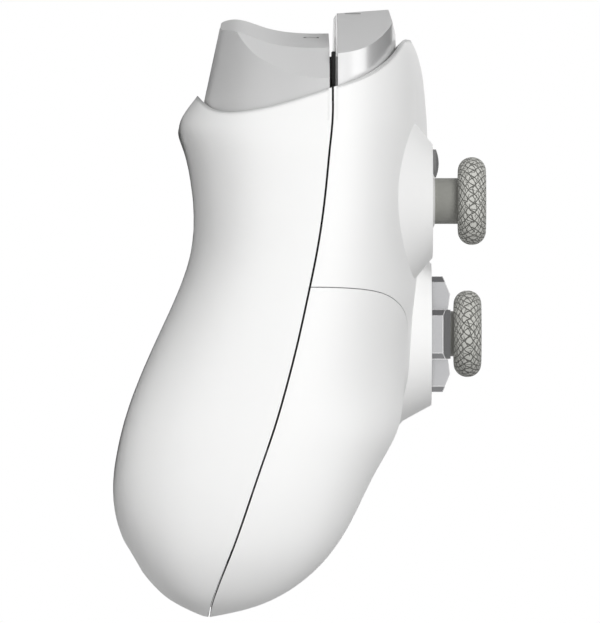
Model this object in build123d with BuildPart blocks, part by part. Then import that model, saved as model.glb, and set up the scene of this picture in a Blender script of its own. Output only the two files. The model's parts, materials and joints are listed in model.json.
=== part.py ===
from build123d import *
from math import atan2, cos, degrees, hypot, radians, sin, sqrt
import os

# Wireless gamepad, millimetres. It is drawn with X to the player's right, Y towards the triggers and
# Z out of the face, with the origin on the face plane between the D-pad and the right stick, and is
# then tipped onto its grips and its rear shoulders, so that +Z is up.

# Driving sizes of the body
BODY_WIDTH = 153.0
BODY_LENGTH = 100.0
BODY_DEPTH = 55.0
HALF_WIDTH = BODY_WIDTH / 2
HALF_LENGTH = BODY_LENGTH / 2
SHELL_WALL = 2.0
SEAM_GAP = 0.26
COVER_GAP = 0.12
RUNNING_GAP = 0.3
PIN_GAP = 0.04
SWITCH_GAP = 0.1

# Side bodies: stations along Y, as shares of half the length, of half the width and of the depth.
# Columns: y, inner x, x of the highest point, x of the lowest point, outer x, front z, seam z, rear z.
WING_SHARES = [
    (1.120, 0.288, 0.471, 0.614, 0.732, -0.164, -0.315, -0.698),
    (1.020, 0.288, 0.471, 0.621, 0.791, -0.096, -0.315, -0.702),
    (0.940, 0.288, 0.471, 0.627, 0.824, -0.060, -0.315, -0.707),
    (0.860, 0.288, 0.471, 0.634, 0.850, -0.053, -0.315, -0.716),
    (0.824, 0.288, 0.471, 0.641, 0.860, -0.052, -0.316, -0.735),
    (0.772, 0.288, 0.471, 0.641, 0.876, -0.052, -0.316, -0.771),
    (0.728, 0.288, 0.471, 0.641, 0.889, -0.051, -0.318, -0.792),
    (0.700, 0.288, 0.471, 0.641, 0.894, -0.051, -0.320, -0.795),
    (0.660, 0.288, 0.471, 0.641, 0.901, -0.051, -0.324, -0.784),
    (0.560, 0.288, 0.471, 0.641, 0.912, -0.051, -0.333, -0.760),
    (0.420, 0.288, 0.471, 0.654, 0.927, -0.051, -0.347, -0.746),
    (0.280, 0.288, 0.471, 0.667, 0.940, -0.051, -0.367, -0.756),
    (0.140, 0.288, 0.477, 0.693, 0.953, -0.055, -0.393, -0.798),
    (-0.020, 0.288, 0.497, 0.719, 0.969, -0.075, -0.425, -0.864),
    (-0.180, 0.327, 0.549, 0.745, 0.984, -0.090, -0.462, -0.927),
    (-0.340, 0.431, 0.654, 0.771, 0.996, -0.116, -0.505, -0.975),
    (-0.420, 0.480, 0.697, 0.778, 0.999, -0.154, -0.530, -0.991),
    (-0.500, 0.523, 0.732, 0.784, 1.000, -0.195, -0.555, -1.000),
    (-0.640, 0.569, 0.765, 0.791, 0.991, -0.258, -0.598, -0.988),
    (-0.752, 0.601, 0.784, 0.791, 0.970, -0.324, -0.635, -0.945),
    (-0.846, 0.641, 0.791, 0.791, 0.933, -0.411, -0.669, -0.885),
    (-0.908, 0.680, 0.791, 0.791, 0.892, -0.502, -0.689, -0.824),
    (-0.944, 0.724, 0.791, 0.791, 0.850, -0.593, -0.698, -0.764),
    (-0.960, 0.758, 0.791, 0.791, 0.821, -0.658, -0.700, -0.731),
]
TIP_SHARES = (0.791, -0.968, -0.700)
CAVITY_SHORT = 2
FRONT_FULLNESS = 1.85
INNER_FULLNESS = 2.0
REAR_FULLNESS = 2.2
POINTS_PER_QUARTER = 4

# Middle body: a crowned block across the wings
MIDDLE_FRONT = -0.3
MIDDLE_REAR = -33.0
MIDDLE_CENTRE_Z = -16.0
MIDDLE_CENTRE_Y = 18.0
MIDDLE_BOTTOM_Y = -15.8
MIDDLE_TOP_Y = 56.0
MIDDLE_FULLNESS = 4.0
MIDDLE_HALF = 40.0
CROWN_DROP = 4.3
MIDDLE_X_SHARES = (-1.0, -0.5, 0.0, 0.5, 1.0)

# Border that the shoulders rise to, seen from the side: shares of the depth and of half the length
BORDER_SHARES = [
    (-1.0909, 0.8380),
    (-0.7345, 0.8180),
    (-0.6945, 0.7780),
    (-0.6000, 0.7660),
    (-0.4727, 0.7940),
    (-0.3182, 0.8480),
    (-0.2364, 0.8800),
    (-0.1582, 0.9320),
    (-0.1164, 0.9800),
    (-0.1018, 1.0040),
    (-0.0836, 1.0200),
]

# Pods on the face
FACE_Z = 0.0
STICK_X = 38.5
STICK_Y = 23.0
INNER_X = 19.5
POD_RIM = 9.8
POD_SLOPE = 1.2
POD_DEEP = 9.0
PAD_POD_RIM = 12.3
PAD_POD_SLOPE = 0.545
BUTTON_POD_RIM = 15.0
BUTTON_POD_Z = -1.9


def unit_quarter(fullness):
    """Points of a quarter superellipse of unit size, from its X end towards its Y end."""
    turns = [index * 90.0 / POINTS_PER_QUARTER for index in range(POINTS_PER_QUARTER)]
    return [(cos(radians(t)) ** (2 / fullness), sin(radians(t)) ** (2 / fullness)) for t in turns]


def wing_section(shares, inset):
    """Closed outline of one side body in X and Z at a station, moved inwards by an inset."""
    _, inner, high, low, outer, front, seam, rear = shares
    x_inner = inner * HALF_WIDTH + inset
    x_outer = outer * HALF_WIDTH - inset
    x_high = high * HALF_WIDTH
    x_low = low * HALF_WIDTH
    z_front = front * BODY_DEPTH - inset
    z_seam = seam * BODY_DEPTH
    z_rear = rear * BODY_DEPTH + inset
    points = [(x_high + (x_outer - x_high) * c, z_seam + (z_front - z_seam) * s)
              for c, s in unit_quarter(FRONT_FULLNESS)]
    points += [(x_high + (x_inner - x_high) * s, z_seam + (z_front - z_seam) * c)
               for c, s in unit_quarter(INNER_FULLNESS)]
    points += [(x_low + (x_inner - x_low) * c, z_seam + (z_rear - z_seam) * s)
               for c, s in unit_quarter(REAR_FULLNESS)]
    points += [(x_low + (x_outer - x_low) * s, z_seam + (z_rear - z_seam) * c)
               for c, s in unit_quarter(REAR_FULLNESS)]
    return points


def closed_outline(points):
    """Closed smooth curve through points, evenly spaced along itself, so that lofts stay light."""
    count = len(points)
    steps = [index / count for index in range(count + 1)]
    add(Edge.make_spline([Vector(*point) for point in points], periodic=True, parameters=steps))


def wing(inset):
    """Side body on the player's right, from the shoulder down to the tip of the grip."""
    stations = WING_SHARES if inset == 0 else WING_SHARES[:-CAVITY_SHORT]
    with BuildPart() as body:
        for shares in stations:
            with BuildSketch(Plane.XZ.offset(-shares[0] * HALF_LENGTH)):
                with BuildLine():
                    closed_outline(wing_section(shares, inset))
                make_face()
        x_share, y_share, z_share = TIP_SHARES
        end = Vertex(x_share * HALF_WIDTH, y_share * HALF_LENGTH + inset, z_share * BODY_DEPTH)
        loft(sections=[*body.pending_faces, end])
    return body.part


def middle_section(x_share, inset):
    """Closed outline of the middle body in Y and Z, lower at its sides than on the centre line."""
    front = MIDDLE_FRONT - CROWN_DROP * x_share**2 - inset
    rear = MIDDLE_REAR + inset
    top = MIDDLE_TOP_Y
    bottom = MIDDLE_BOTTOM_Y + inset
    points = []
    for index in range(4 * POINTS_PER_QUARTER):
        turn = radians(index * 90.0 / POINTS_PER_QUARTER)
        along, across = cos(turn), sin(turn)
        y_reach = (top if along > 0 else bottom) - MIDDLE_CENTRE_Y
        z_reach = (front if across > 0 else rear) - MIDDLE_CENTRE_Z
        y = MIDDLE_CENTRE_Y + y_reach * abs(along) ** (2 / MIDDLE_FULLNESS)
        z = MIDDLE_CENTRE_Z + z_reach * abs(across) ** (2 / MIDDLE_FULLNESS)
        points.append((y, z))
    return points


def middle(inset):
    """Middle body, lofted across the object."""
    with BuildPart() as body:
        for x_share in MIDDLE_X_SHARES:
            with BuildSketch(Plane.YZ.offset(x_share * (MIDDLE_HALF - inset))):
                with BuildLine():
                    Spline(*middle_section(x_share, inset), periodic=True)
                make_face()
        loft()
    return body.part


def cone(x, y, rim, slope, top, inset):
    """Solid cone of a pod, wider towards the body, moved inwards by an inset along its slope."""
    drop = inset
    shift = inset * hypot(1, slope)
    with BuildPart() as body:
        with BuildSketch(Plane.XY.offset(top - drop)):
            with Locations((x, y)):
                Circle(rim + slope * drop - shift)
        with BuildSketch(Plane.XY.offset(-POD_DEEP)):
            with Locations((x, y)):
                Circle(rim + slope * (POD_DEEP + top) - shift)
        loft()
    return body.part


def below_border(inset):
    """Everything under the border of the shoulders, moved down by an inset."""
    reach = 2 * BODY_LENGTH
    points = [(y * HALF_LENGTH - inset, z * BODY_DEPTH) for z, y in BORDER_SHARES]
    with BuildPart() as body:
        with BuildSketch(Plane.YZ):
            with BuildLine():
                Spline(*points)
                Polyline(points[-1], (points[-1][0], reach), (-reach, reach), (-reach, points[0][1]),
                         points[0])
            make_face()
        extrude(amount=BODY_WIDTH, both=True)
    return body.part


def envelope(inset):
    """Outer form of the body with its pods, or its cavity when it is inset by the wall."""
    right_wing = wing(inset)
    with BuildPart() as body:
        add(right_wing)
        mirror(right_wing, about=Plane.YZ)
        add(middle(inset))
        add(cone(-STICK_X, STICK_Y, POD_RIM, POD_SLOPE, FACE_Z, inset))
        add(cone(INNER_X, 0, POD_RIM, POD_SLOPE, FACE_Z, inset))
        add(cone(-INNER_X, 0, PAD_POD_RIM, PAD_POD_SLOPE, FACE_Z, inset))
        add(cone(STICK_X, STICK_Y, BUTTON_POD_RIM, POD_SLOPE, BUTTON_POD_Z, inset))
        add(below_border(inset), mode=Mode.INTERSECT)
    return body.part


# Parting line of the grip covers on the player's side: shares of half the width and half the length
COVER_SHARES = [
    (1.2418, 0.1720),
    (0.9542, 0.1620),
    (0.8876, 0.1560),
    (0.8013, 0.1400),
    (0.7190, 0.1100),
    (0.6327, 0.0640),
    (0.5621, -0.0040),
    (0.5033, -0.1100),
    (0.4575, -0.2400),
    (0.4248, -0.4000),
    (0.4052, -0.6000),
]

# Opening of the shoulder that the trigger and the bumper stand in
OPENING_FRONT_X = 38.0
OPENING_REAR_X = 49.0
OPENING_OUTER_X = 63.0
OPENING_FRONT_Z = -6.0
OPENING_REAR_Z = -39.7
OPENING_SEAM_Z = -17.4
OPENING_FULLNESS = 2.2
OPENING_CORNER = 8.0
OPENING_BOTTOM_Y = 34.0
TRIGGER_INNER_X = 35.5
TRIGGER_FRONT_Z = -17.9
BUMPER_INNER_X = 17.6
BUMPER_REAR_Z = -16.5
COVER_WALL = 1.6

# Main board and carrier
BOARD_TOP = -16.0
BOARD_THICK = 1.6
BOARD_HALF = 52.0
BOARD_BOTTOM_Y = -9.0
BOARD_SIDE_TOP_Y = 33.6
BOARD_TOP_Y = 38.0
BOARD_NECK = 32.0
CHASSIS_GAP = 2.0
CHASSIS_THICK = 1.6
CHASSIS_TOP = BOARD_TOP - BOARD_THICK - CHASSIS_GAP
CHASSIS_HALF = 62.0
CHASSIS_SIDE_Y = (10.0, 23.0)

# Screws, at places in X and Y: two above the battery, two in the grips
SCREW_SHANK = 1.2
SCREW_HEAD = 2.4
HEAD_THICK = 1.8
RECESS = 2.7
BOSS_WALL = 1.2
PILOT = 1.0
UPPER_SCREW = (20.0, 33.0)
GRIP_SCREW = (60.5, -38.0)
GRIP_SCREW_SEAT = -40.0
UPPER_SCREW_SEAT = -27.0
SHANK_LONG = 15.0


def seam_zone(front, shift):
    """Space in front of the seam surface, or behind it, moved away from it by a shift."""
    reach = 2 * BODY_LENGTH
    sign = 1 if front else -1
    middle_points = [(row[0] * HALF_LENGTH, row[6] * BODY_DEPTH + sign * shift) for row in WING_SHARES]
    first, last = middle_points[0], middle_points[-1]
    slope = (last[1] - middle_points[-3][1]) / (last[0] - middle_points[-3][0])
    far_z = last[1] - slope * (reach + last[0])
    with BuildPart() as body:
        with BuildSketch(Plane.YZ):
            with BuildLine():
                Spline(*middle_points)
                Polyline(last, (-reach, far_z), (-reach, sign * reach), (reach, sign * reach),
                         (reach, first[1]), first)
            make_face()
        extrude(amount=BODY_WIDTH, both=True)
    return body.part


def cover_zone(shift):
    """Space of the grip cover on the player's right, moved out of the parting line by a shift."""
    points = [(x * HALF_WIDTH, y * HALF_LENGTH - shift) for x, y in COVER_SHARES]
    reach = 2 * BODY_LENGTH
    with BuildPart() as body:
        with BuildSketch(Plane.XY.offset(-BODY_DEPTH)):
            with BuildLine():
                Spline(*points)
                Polyline(points[-1], (points[-1][0], -reach), (points[0][0], -reach), points[0])
            make_face()
        extrude(amount=2 * BODY_DEPTH)
    return body.part


def opening_sketch(inset, inner_x, low_z, high_z, rear_z=OPENING_REAR_Z):
    """Outline in X and Z of what stands in the shoulder opening, between two limits along Z."""
    x_outer = OPENING_OUTER_X - inset
    front = OPENING_FRONT_Z - inset
    rear = rear_z + inset
    corner = OPENING_CORNER - inset
    bulge = corner * (1 - sqrt(1 / 2))
    quarter = unit_quarter(OPENING_FULLNESS)
    front_side = [(OPENING_FRONT_X + (x_outer - OPENING_FRONT_X) * s,
                   OPENING_SEAM_Z + (front - OPENING_SEAM_Z) * c) for c, s in quarter]
    rear_side = [(OPENING_REAR_X + (x_outer - OPENING_REAR_X) * c,
                  OPENING_SEAM_Z + (rear - OPENING_SEAM_Z) * s) for c, s in quarter]
    rear_side.append((OPENING_REAR_X, rear))
    with BuildSketch(Plane.XZ) as sketch:
        with BuildLine():
            Spline(*front_side, *rear_side, tangents=[(1, 0), (-1, 0)])
            Line((OPENING_REAR_X, rear), (inner_x + corner, rear))
            ThreePointArc((inner_x + corner, rear), (inner_x + bulge, rear + bulge), (inner_x, rear + corner))
            Polyline((inner_x, rear + corner), (inner_x, front), (OPENING_FRONT_X, front))
        make_face()
        with Locations((inner_x + BODY_WIDTH / 2, (low_z + high_z) / 2)):
            Rectangle(BODY_WIDTH, high_z - low_z, mode=Mode.INTERSECT)
    return sketch.sketch


def opening_prism(inset, inner_x, low_z, high_z, bottom_y):
    """Prism over the outline in the shoulder opening, from a height along Y upwards."""
    outline = opening_sketch(inset, inner_x, low_z, high_z)
    with BuildPart() as body:
        extrude(outline.moved(Location((0, bottom_y, 0))), amount=-HALF_LENGTH)
    return body.part


pieces = {}


def keep(builder, label):
    """Labels a finished piece and keeps it for its file."""
    builder.part.label = label
    pieces[label] = builder.part


# Stick modules, seen along the stick: the pivot lies under the face plane
STICK_PIVOT = 10.5
STICK_TILT = 15.0
WELL_RADIUS = 8.9
DOME_RADIUS = 11.6
DOME_WALL = 1.0
DOME_EDGE = 70.0
NECK_RADIUS = 3.95
CAP_RADIUS = 7.55
CAP_BOTTOM = 4.35
CAP_THICK = 4.85
CAP_RIM = 2.35
CAP_DISH = 0.7
CAP_DISH_RADIUS = 4.4
LEVER_RADIUS = 1.2
LEVER_TAIL = 4.4
LEVER_TOP = 1.5
HOUSING_SIDE = 13.0
HOUSING_TOP = -8.0
HOUSING_WALL = 0.8
HOUSING_MOUTH = 5.0
RING_X = 8.4
RING_Y = 6.0
RING_THICK = 2.4
RING_SLOT_X = 5.2
RING_SLOT_Y = 4.2
SHAFT_RADIUS = 0.9
HUB_X = 3.4
HUB_Y = 3.8
HUB_PIN = 0.6
BAIL_INNER = 3.7
BAIL_WALL = 0.7
BAIL_WIDTH = 4.8
SLOT_GAP = 0.12
SENSOR_THICK = 2.4
SENSOR_WIDE = 7.0
SENSOR_TALL = 5.5

# Pad in its dish
PAD_SPAN = 20.0
PAD_ARM = 8.5
PAD_CORNER = 1.0
PAD_HEIGHT = 3.25
PAD_END_HEIGHT = 1.95
PAD_PEAK = 6.9
PAD_WAIST = 2.85
PAD_WAIST_PLACE = 3.8
PAD_BOTTOM = -1.5
DISH_RADIUS = 11.4
DISC_GAP = 0.6
DISC_THICK = 1.2
DISC_TOP = PAD_BOTTOM
PAD_PIVOT = -7.0
ROCKER_SIDE = 2.4
ROCKER_THICK = 1.6
ROCKER_PIN = 0.5
FORK_THICK = 0.8
FORK_WIDE = 2.0

# Face buttons
BUTTON_RADIUS = 4.6
BUTTON_SPREAD = 8.7
BUTTON_TOP = -0.5
BUTTON_DOME = 0.5
BUTTON_TRAVEL = 1.2
FLANGE = 0.8
FLANGE_THICK = 1.0
STEM_RADIUS = 1.8
MEMBRANE_THICK = 0.8
COLLAR_WALL = 0.5
COLLAR_TALL = 1.4
SWITCH_RADIUS = 1.6
SWITCH_TALL = 0.5

# Small buttons of the middle, at places in X and Y
SMALL_RADIUS = 2.45
SMALL_TOP = 1.4
SMALL_X = 11.5
SMALL_Y = 29.6
SMALL_TRAVEL = 0.5
HOME_RADIUS = 5.0
HOME_Y = 33.0
HOME_TOP = -0.6
SHARE_RADIUS = 2.6
SHARE_Y = 19.0
SHARE_TOP = -0.2

# Triggers, on pins along X
HUB_Y_PLACE = 37.0
HUB_Z_PLACE = -13.5
HUB_RADIUS = 2.4
TRIGGER_PIN = 1.0
TRIGGER_GAP = 0.45
TRIGGER_BOTTOM_Y = 34.0
TRIGGER_FRONT_BOTTOM_Y = 38.0
TRIGGER_LEAN_Y = 40.4
TRIGGER_TIP_Z = -36.2
TRIGGER_LONG = 27.1
TRIGGER_TALL = 20.7
# Surfaces of a trigger from before its front to past its tip: shares of that way and of its height
FINGER_SHARES = [(-0.2, 0.865), (0.0, 0.865), (0.36, 0.874), (0.63, 0.923), (0.90, 0.995), (1.0, 0.990),
                 (1.2, 0.930)]
BAND_SHARES = [(-0.2, 0.733), (0.0, 0.733), (0.32, 0.746), (0.52, 0.773), (0.72, 0.804), (0.93, 0.865),
               (1.2, 0.960)]
FINGER_SLOPE = 0.123
BAND_SLOPE = 0.93
BAND_PLACE_SHARE = 0.797
ARM_THICK = 1.6
ARM_OUTER_X = 58.0
ARM_REACH_Z = -28.6
ARM_REACH_Y = 39.0
ARM_END = 3.0
SPRING_WIRE = 0.35
SPRING_RADIUS = 3.9
SPRING_TURNS = 4
SPRING_PITCH = 1.2
EAR_THICK = 1.2
EAR_RADIUS = 2.6
OUTER_EAR_X = 60.2
OUTER_EAR_RADIUS = 2.0

# Bumpers, on pins along Z at their inner ends
BUMPER_TOP_Y = 56.0
BUMPER_FRONT_Z = -6.4
BUMPER_LONG = 46.4
BUMPER_TALL = 15.0
# Top of a bumper seen from the face: shares of its length, and drops as shares of its height
BUMPER_TOP_SHARES = [(0.0, 0.0), (0.267, -0.007), (0.483, 0.027), (0.655, 0.160), (0.828, 0.340),
                     (1.0, 0.560)]
BUMPER_REAR_DROP = 0.7
BUMPER_BEVEL = 1.2
BUMPER_FRONT_DROP = 4.4
BUMPER_SINK = 1.2
BUMPER_PIN = 1.0
BUMPER_PIN_X = 20.0
BUMPER_PIN_Y = 47.4
DIVIDER_MID_X = 47.6
DIVIDER_LONG = 19.0
DIVIDER_TOP_Y = 48.6
DIVIDER_Z = -17.15
DIVIDER_THICK = 0.6
KNUCKLE_RADIUS = 2.2
KNUCKLE_Z = (-13.2, -10.2)
BRIDGE_HALF = 17.2

# Sockets
PORT_WIDE = 8.9
PORT_TALL = 3.2
PORT_WALL = 0.3
PORT_DEEP = 7.3
PORT_TONGUE = 0.7
PORT_Z = -12.0
PORT_BOARD_HALF = 6.5
PORT_BOARD_THICK = 1.0
PORT_BOARD_Y = (36.5, 53.5)
JACK_BORE = 1.8
JACK_DEEP = 12.0
JACK_SIDE = 6.0
JACK_NOSE = 2.5

# Battery and rumble motors
BATTERY_SIZE = (40.0, 30.0, 8.6)
BATTERY_Y = 13.5
MOTOR_RADIUS = 6.0
MOTOR_LONG = 12.0
MOTOR_X = 48.0
MOTOR_Y = -22.0
MOTOR_Z = -34.0
MOTOR_SHAFT = 1.0
WEIGHT_RADIUS = 8.5
WEIGHT_LONG = 6.0
WEIGHT_GAP = 1.0
CRADLE_THICK = 1.6


def stick_module(hand, x, y):
    """One thumb stick: cap, neck, dome, lever, gimbal and housing about a pivot under the face."""
    pivot_z = FACE_Z - STICK_PIVOT
    pivot = Plane((x, y, pivot_z))
    turn_axis = Axis((x, y, 0), (0, 0, 1))

    dish_sphere = (CAP_DISH_RADIUS**2 + CAP_DISH**2) / (2 * CAP_DISH)
    with BuildPart(Plane((x, y, CAP_BOTTOM))) as grip:
        Cylinder(CAP_RADIUS, CAP_THICK, align=(Align.CENTER, Align.CENTER, Align.MIN))
        fillet(grip.edges().filter_by(GeomType.CIRCLE), CAP_RIM)
        with Locations((0, 0, CAP_THICK - CAP_DISH + dish_sphere)):
            Sphere(dish_sphere, mode=Mode.SUBTRACT)
    keep(grip, f"{hand}_stick_grip")

    neck_bottom = pivot_z + sqrt((DOME_RADIUS - DOME_WALL) ** 2 - NECK_RADIUS**2)
    with BuildPart() as neck:
        with BuildSketch(Plane.XY.offset(neck_bottom)):
            with Locations((x, y)):
                Circle(NECK_RADIUS)
        extrude(amount=CAP_BOTTOM - neck_bottom)
        with Locations((x, y, neck_bottom)):
            Cylinder(LEVER_RADIUS, LEVER_TOP - neck_bottom, align=(Align.CENTER, Align.CENTER, Align.MIN),
                     mode=Mode.SUBTRACT)
    keep(neck, f"{hand}_stick_neck")

    edge = radians(DOME_EDGE)
    middle_radius = DOME_RADIUS - DOME_WALL
    start = atan2(NECK_RADIUS, sqrt(DOME_RADIUS**2 - NECK_RADIUS**2))
    mid = (start + edge) / 2
    with BuildPart() as dome:
        with BuildSketch(Plane((x, y, pivot_z), x_dir=(1, 0, 0), z_dir=(0, -1, 0))):
            with BuildLine():
                outside = ThreePointArc(
                    (NECK_RADIUS, sqrt(DOME_RADIUS**2 - NECK_RADIUS**2)),
                    (DOME_RADIUS * sin(mid), DOME_RADIUS * cos(mid)),
                    (DOME_RADIUS * sin(edge), DOME_RADIUS * cos(edge)),
                )
                inside = ThreePointArc(
                    (NECK_RADIUS, sqrt(middle_radius**2 - NECK_RADIUS**2)),
                    (middle_radius * sin(mid), middle_radius * cos(mid)),
                    (middle_radius * sin(edge), middle_radius * cos(edge)),
                )
                Line(outside @ 1, inside @ 1)
                Line(outside @ 0, inside @ 0)
            make_face()
        revolve(axis=turn_axis)
    keep(dome, f"{hand}_stick_dome")

    with BuildPart() as lever:
        with Locations((x, y, pivot_z - LEVER_TAIL)):
            Cylinder(LEVER_RADIUS, LEVER_TOP - pivot_z + LEVER_TAIL,
                     align=(Align.CENTER, Align.CENTER, Align.MIN))
    keep(lever, f"{hand}_stick_lever")

    with BuildPart(pivot) as hub:
        Box(HUB_X, HUB_Y, RING_THICK)
        Cylinder(HUB_PIN, RING_Y, rotation=(90, 0, 0))
        Cylinder(LEVER_RADIUS + PIN_GAP, RING_THICK, mode=Mode.SUBTRACT)
    keep(hub, f"{hand}_stick_hub")

    inside_half = HOUSING_SIDE / 2 - HOUSING_WALL
    with BuildPart(pivot) as ring:
        Box(RING_X, RING_Y, RING_THICK)
        Box(RING_SLOT_X, RING_SLOT_Y, RING_THICK, mode=Mode.SUBTRACT)
        Cylinder(HUB_PIN + PIN_GAP, RING_Y, rotation=(90, 0, 0), mode=Mode.SUBTRACT)
        for side in (-1, 1):
            with Locations((side * (RING_X / 2 + HOUSING_SIDE / 2) / 2, 0, 0)):
                Cylinder(SHAFT_RADIUS, HOUSING_SIDE / 2 - RING_X / 2, rotation=(0, 90, 0))
    keep(ring, f"{hand}_stick_yoke")

    bail_outer = BAIL_INNER + BAIL_WALL
    slot_reach = LEVER_RADIUS + SLOT_GAP + bail_outer * sin(radians(STICK_TILT))
    shaft_inner = sqrt(BAIL_INNER**2 - SHAFT_RADIUS**2) + BAIL_WALL / 2
    with BuildPart(pivot) as bail:
        Cylinder(bail_outer, BAIL_WIDTH, rotation=(0, 90, 0))
        with Locations((0, 0, bail_outer / 2 + 2 * SHAFT_RADIUS)):
            Box(2 * BAIL_WIDTH, 4 * bail_outer, bail_outer + SHAFT_RADIUS, mode=Mode.SUBTRACT)
        for side in (-1, 1):
            with Locations((0, side * (shaft_inner + HOUSING_SIDE / 2) / 2, 0)):
                Cylinder(SHAFT_RADIUS, HOUSING_SIDE / 2 - shaft_inner, rotation=(90, 0, 0))
        Cylinder(BAIL_INNER, 2 * BAIL_WIDTH, rotation=(0, 90, 0), mode=Mode.SUBTRACT)
        with Locations((0, 0, -bail_outer)):
            Box(2 * (LEVER_RADIUS + SLOT_GAP), 2 * slot_reach, bail_outer, mode=Mode.SUBTRACT)
    keep(bail, f"{hand}_stick_bail")

    housing_tall = HOUSING_TOP - BOARD_TOP
    with BuildPart(Plane((x, y, BOARD_TOP))) as housing:
        Box(HOUSING_SIDE, HOUSING_SIDE, housing_tall, align=(Align.CENTER, Align.CENTER, Align.MIN))
        with Locations((0, 0, HOUSING_WALL / 2)):
            Box(2 * inside_half, 2 * inside_half, housing_tall - HOUSING_WALL * 1.5,
                align=(Align.CENTER, Align.CENTER, Align.MIN), mode=Mode.SUBTRACT)
        Cylinder(HOUSING_MOUTH, housing_tall, align=(Align.CENTER, Align.CENTER, Align.MIN),
                 mode=Mode.SUBTRACT)
        with Locations((0, 0, 0)):
            Cylinder(HOUSING_MOUTH, HOUSING_WALL / 2, align=(Align.CENTER, Align.CENTER, Align.MIN))
        with Locations((0, 0, pivot_z - BOARD_TOP)):
            Cylinder(SHAFT_RADIUS + PIN_GAP, HOUSING_SIDE, rotation=(0, 90, 0), mode=Mode.SUBTRACT)
            Cylinder(SHAFT_RADIUS + PIN_GAP, HOUSING_SIDE, rotation=(90, 0, 0), mode=Mode.SUBTRACT)
    keep(housing, f"{hand}_stick_housing")

    with BuildPart(Plane((x, y, BOARD_TOP))) as sensors:
        reach = HOUSING_SIDE / 2 + SENSOR_THICK / 2
        with Locations((-reach, 0, 0)):
            Box(SENSOR_THICK, SENSOR_WIDE, SENSOR_TALL, align=(Align.CENTER, Align.CENTER, Align.MIN))
        with Locations((0, -reach, 0)):
            Box(SENSOR_WIDE, SENSOR_THICK, SENSOR_TALL, align=(Align.CENTER, Align.CENTER, Align.MIN))
    keep(sensors, f"{hand}_stick_sensors")


def pad():
    """Cross-shaped pad on a disc, tilting on a small rocker above the board."""
    x = -INNER_X
    half = PAD_SPAN / 2
    side = [(-half, PAD_BOTTOM), (half, PAD_BOTTOM), (half, PAD_END_HEIGHT), (PAD_PEAK, PAD_HEIGHT),
            (PAD_WAIST_PLACE, PAD_WAIST), (-PAD_WAIST_PLACE, PAD_WAIST), (-PAD_PEAK, PAD_HEIGHT),
            (-half, PAD_END_HEIGHT)]
    with BuildPart() as bar:
        with BuildSketch(Plane.XZ):
            Polygon(*side, align=None)
        extrude(amount=PAD_ARM / 2, both=True)
        chamfer(bar.edges().filter_by(Axis.Z), PAD_CORNER)
    with BuildPart() as cross:
        with Locations((x, 0, 0)):
            add(bar.part)
            add(bar.part, rotation=(0, 0, 90))
    keep(cross, "dpad")

    disc_radius = DISH_RADIUS - DISC_GAP
    disc_bottom = DISC_TOP - DISC_THICK
    fork_y = ROCKER_SIDE / 2 + RUNNING_GAP + FORK_THICK / 2
    fork_bottom = PAD_PIVOT - FORK_WIDE / 2
    with BuildPart(Plane((x, 0, 0))) as carrier:
        with Locations((0, 0, disc_bottom)):
            Cylinder(disc_radius, DISC_THICK, align=(Align.CENTER, Align.CENTER, Align.MIN))
        with Locations((0, fork_y, fork_bottom), (0, -fork_y, fork_bottom)):
            Box(FORK_WIDE, FORK_THICK, disc_bottom - fork_bottom,
                align=(Align.CENTER, Align.CENTER, Align.MIN))
        with Locations((0, 0, PAD_PIVOT)):
            Cylinder(ROCKER_PIN + PIN_GAP, PAD_SPAN, rotation=(90, 0, 0), mode=Mode.SUBTRACT)
    keep(carrier, "dpad_disc")

    post_x = ROCKER_SIDE / 2 + RUNNING_GAP + FORK_THICK / 2
    with BuildPart(Plane((x, 0, PAD_PIVOT))) as rocker:
        Box(ROCKER_SIDE, ROCKER_SIDE, ROCKER_THICK)
        Cylinder(ROCKER_PIN, 2 * (post_x + FORK_THICK / 2), rotation=(0, 90, 0))
        Cylinder(ROCKER_PIN, 2 * (fork_y + FORK_THICK / 2), rotation=(90, 0, 0))
    keep(rocker, "dpad_rocker")

    post_top = PAD_PIVOT + FORK_WIDE / 2
    with BuildPart(Plane((x, 0, BOARD_TOP))) as post:
        with Locations((0, 0, 0)):
            Box(2 * post_x + FORK_THICK, 2 * FORK_WIDE, FORK_WIDE,
                align=(Align.CENTER, Align.CENTER, Align.MIN))
        with Locations((post_x, 0, 0), (-post_x, 0, 0)):
            Box(FORK_THICK, FORK_WIDE, post_top - BOARD_TOP, align=(Align.CENTER, Align.CENTER, Align.MIN))
        with Locations((0, 0, PAD_PIVOT - BOARD_TOP)):
            Cylinder(ROCKER_PIN + PIN_GAP, HOUSING_SIDE, rotation=(0, 90, 0), mode=Mode.SUBTRACT)
    keep(post, "dpad_post")


def face_places():
    """Places of the four face buttons, in the order bottom, right, left, top."""
    return [(STICK_X, STICK_Y - BUTTON_SPREAD), (STICK_X + BUTTON_SPREAD, STICK_Y),
            (STICK_X - BUTTON_SPREAD, STICK_Y), (STICK_X, STICK_Y + BUTTON_SPREAD)]


def plunger_button(label, x, y, radius, top, dome, travel, wall_bottom):
    """A round button with its flange under the shell and a stem above its switch."""
    stem_bottom = BOARD_TOP + SWITCH_TALL + SWITCH_GAP + travel
    with BuildPart() as button:
        with BuildSketch(Plane((x, y, 0), x_dir=(1, 0, 0), z_dir=(0, -1, 0))):
            with BuildLine():
                ThreePointArc((0, top), (radius / 2, top - dome / 4), (radius, top - dome))
                Polyline((radius, top - dome), (radius, wall_bottom - RUNNING_GAP),
                         (radius + FLANGE, wall_bottom - RUNNING_GAP),
                         (radius + FLANGE, wall_bottom - RUNNING_GAP - FLANGE_THICK),
                         (STEM_RADIUS, wall_bottom - RUNNING_GAP - FLANGE_THICK),
                         (STEM_RADIUS, stem_bottom), (0, stem_bottom), (0, top))
            make_face()
        revolve(axis=Axis((x, y, 0), (0, 0, 1)))
    keep(button, label)


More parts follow.
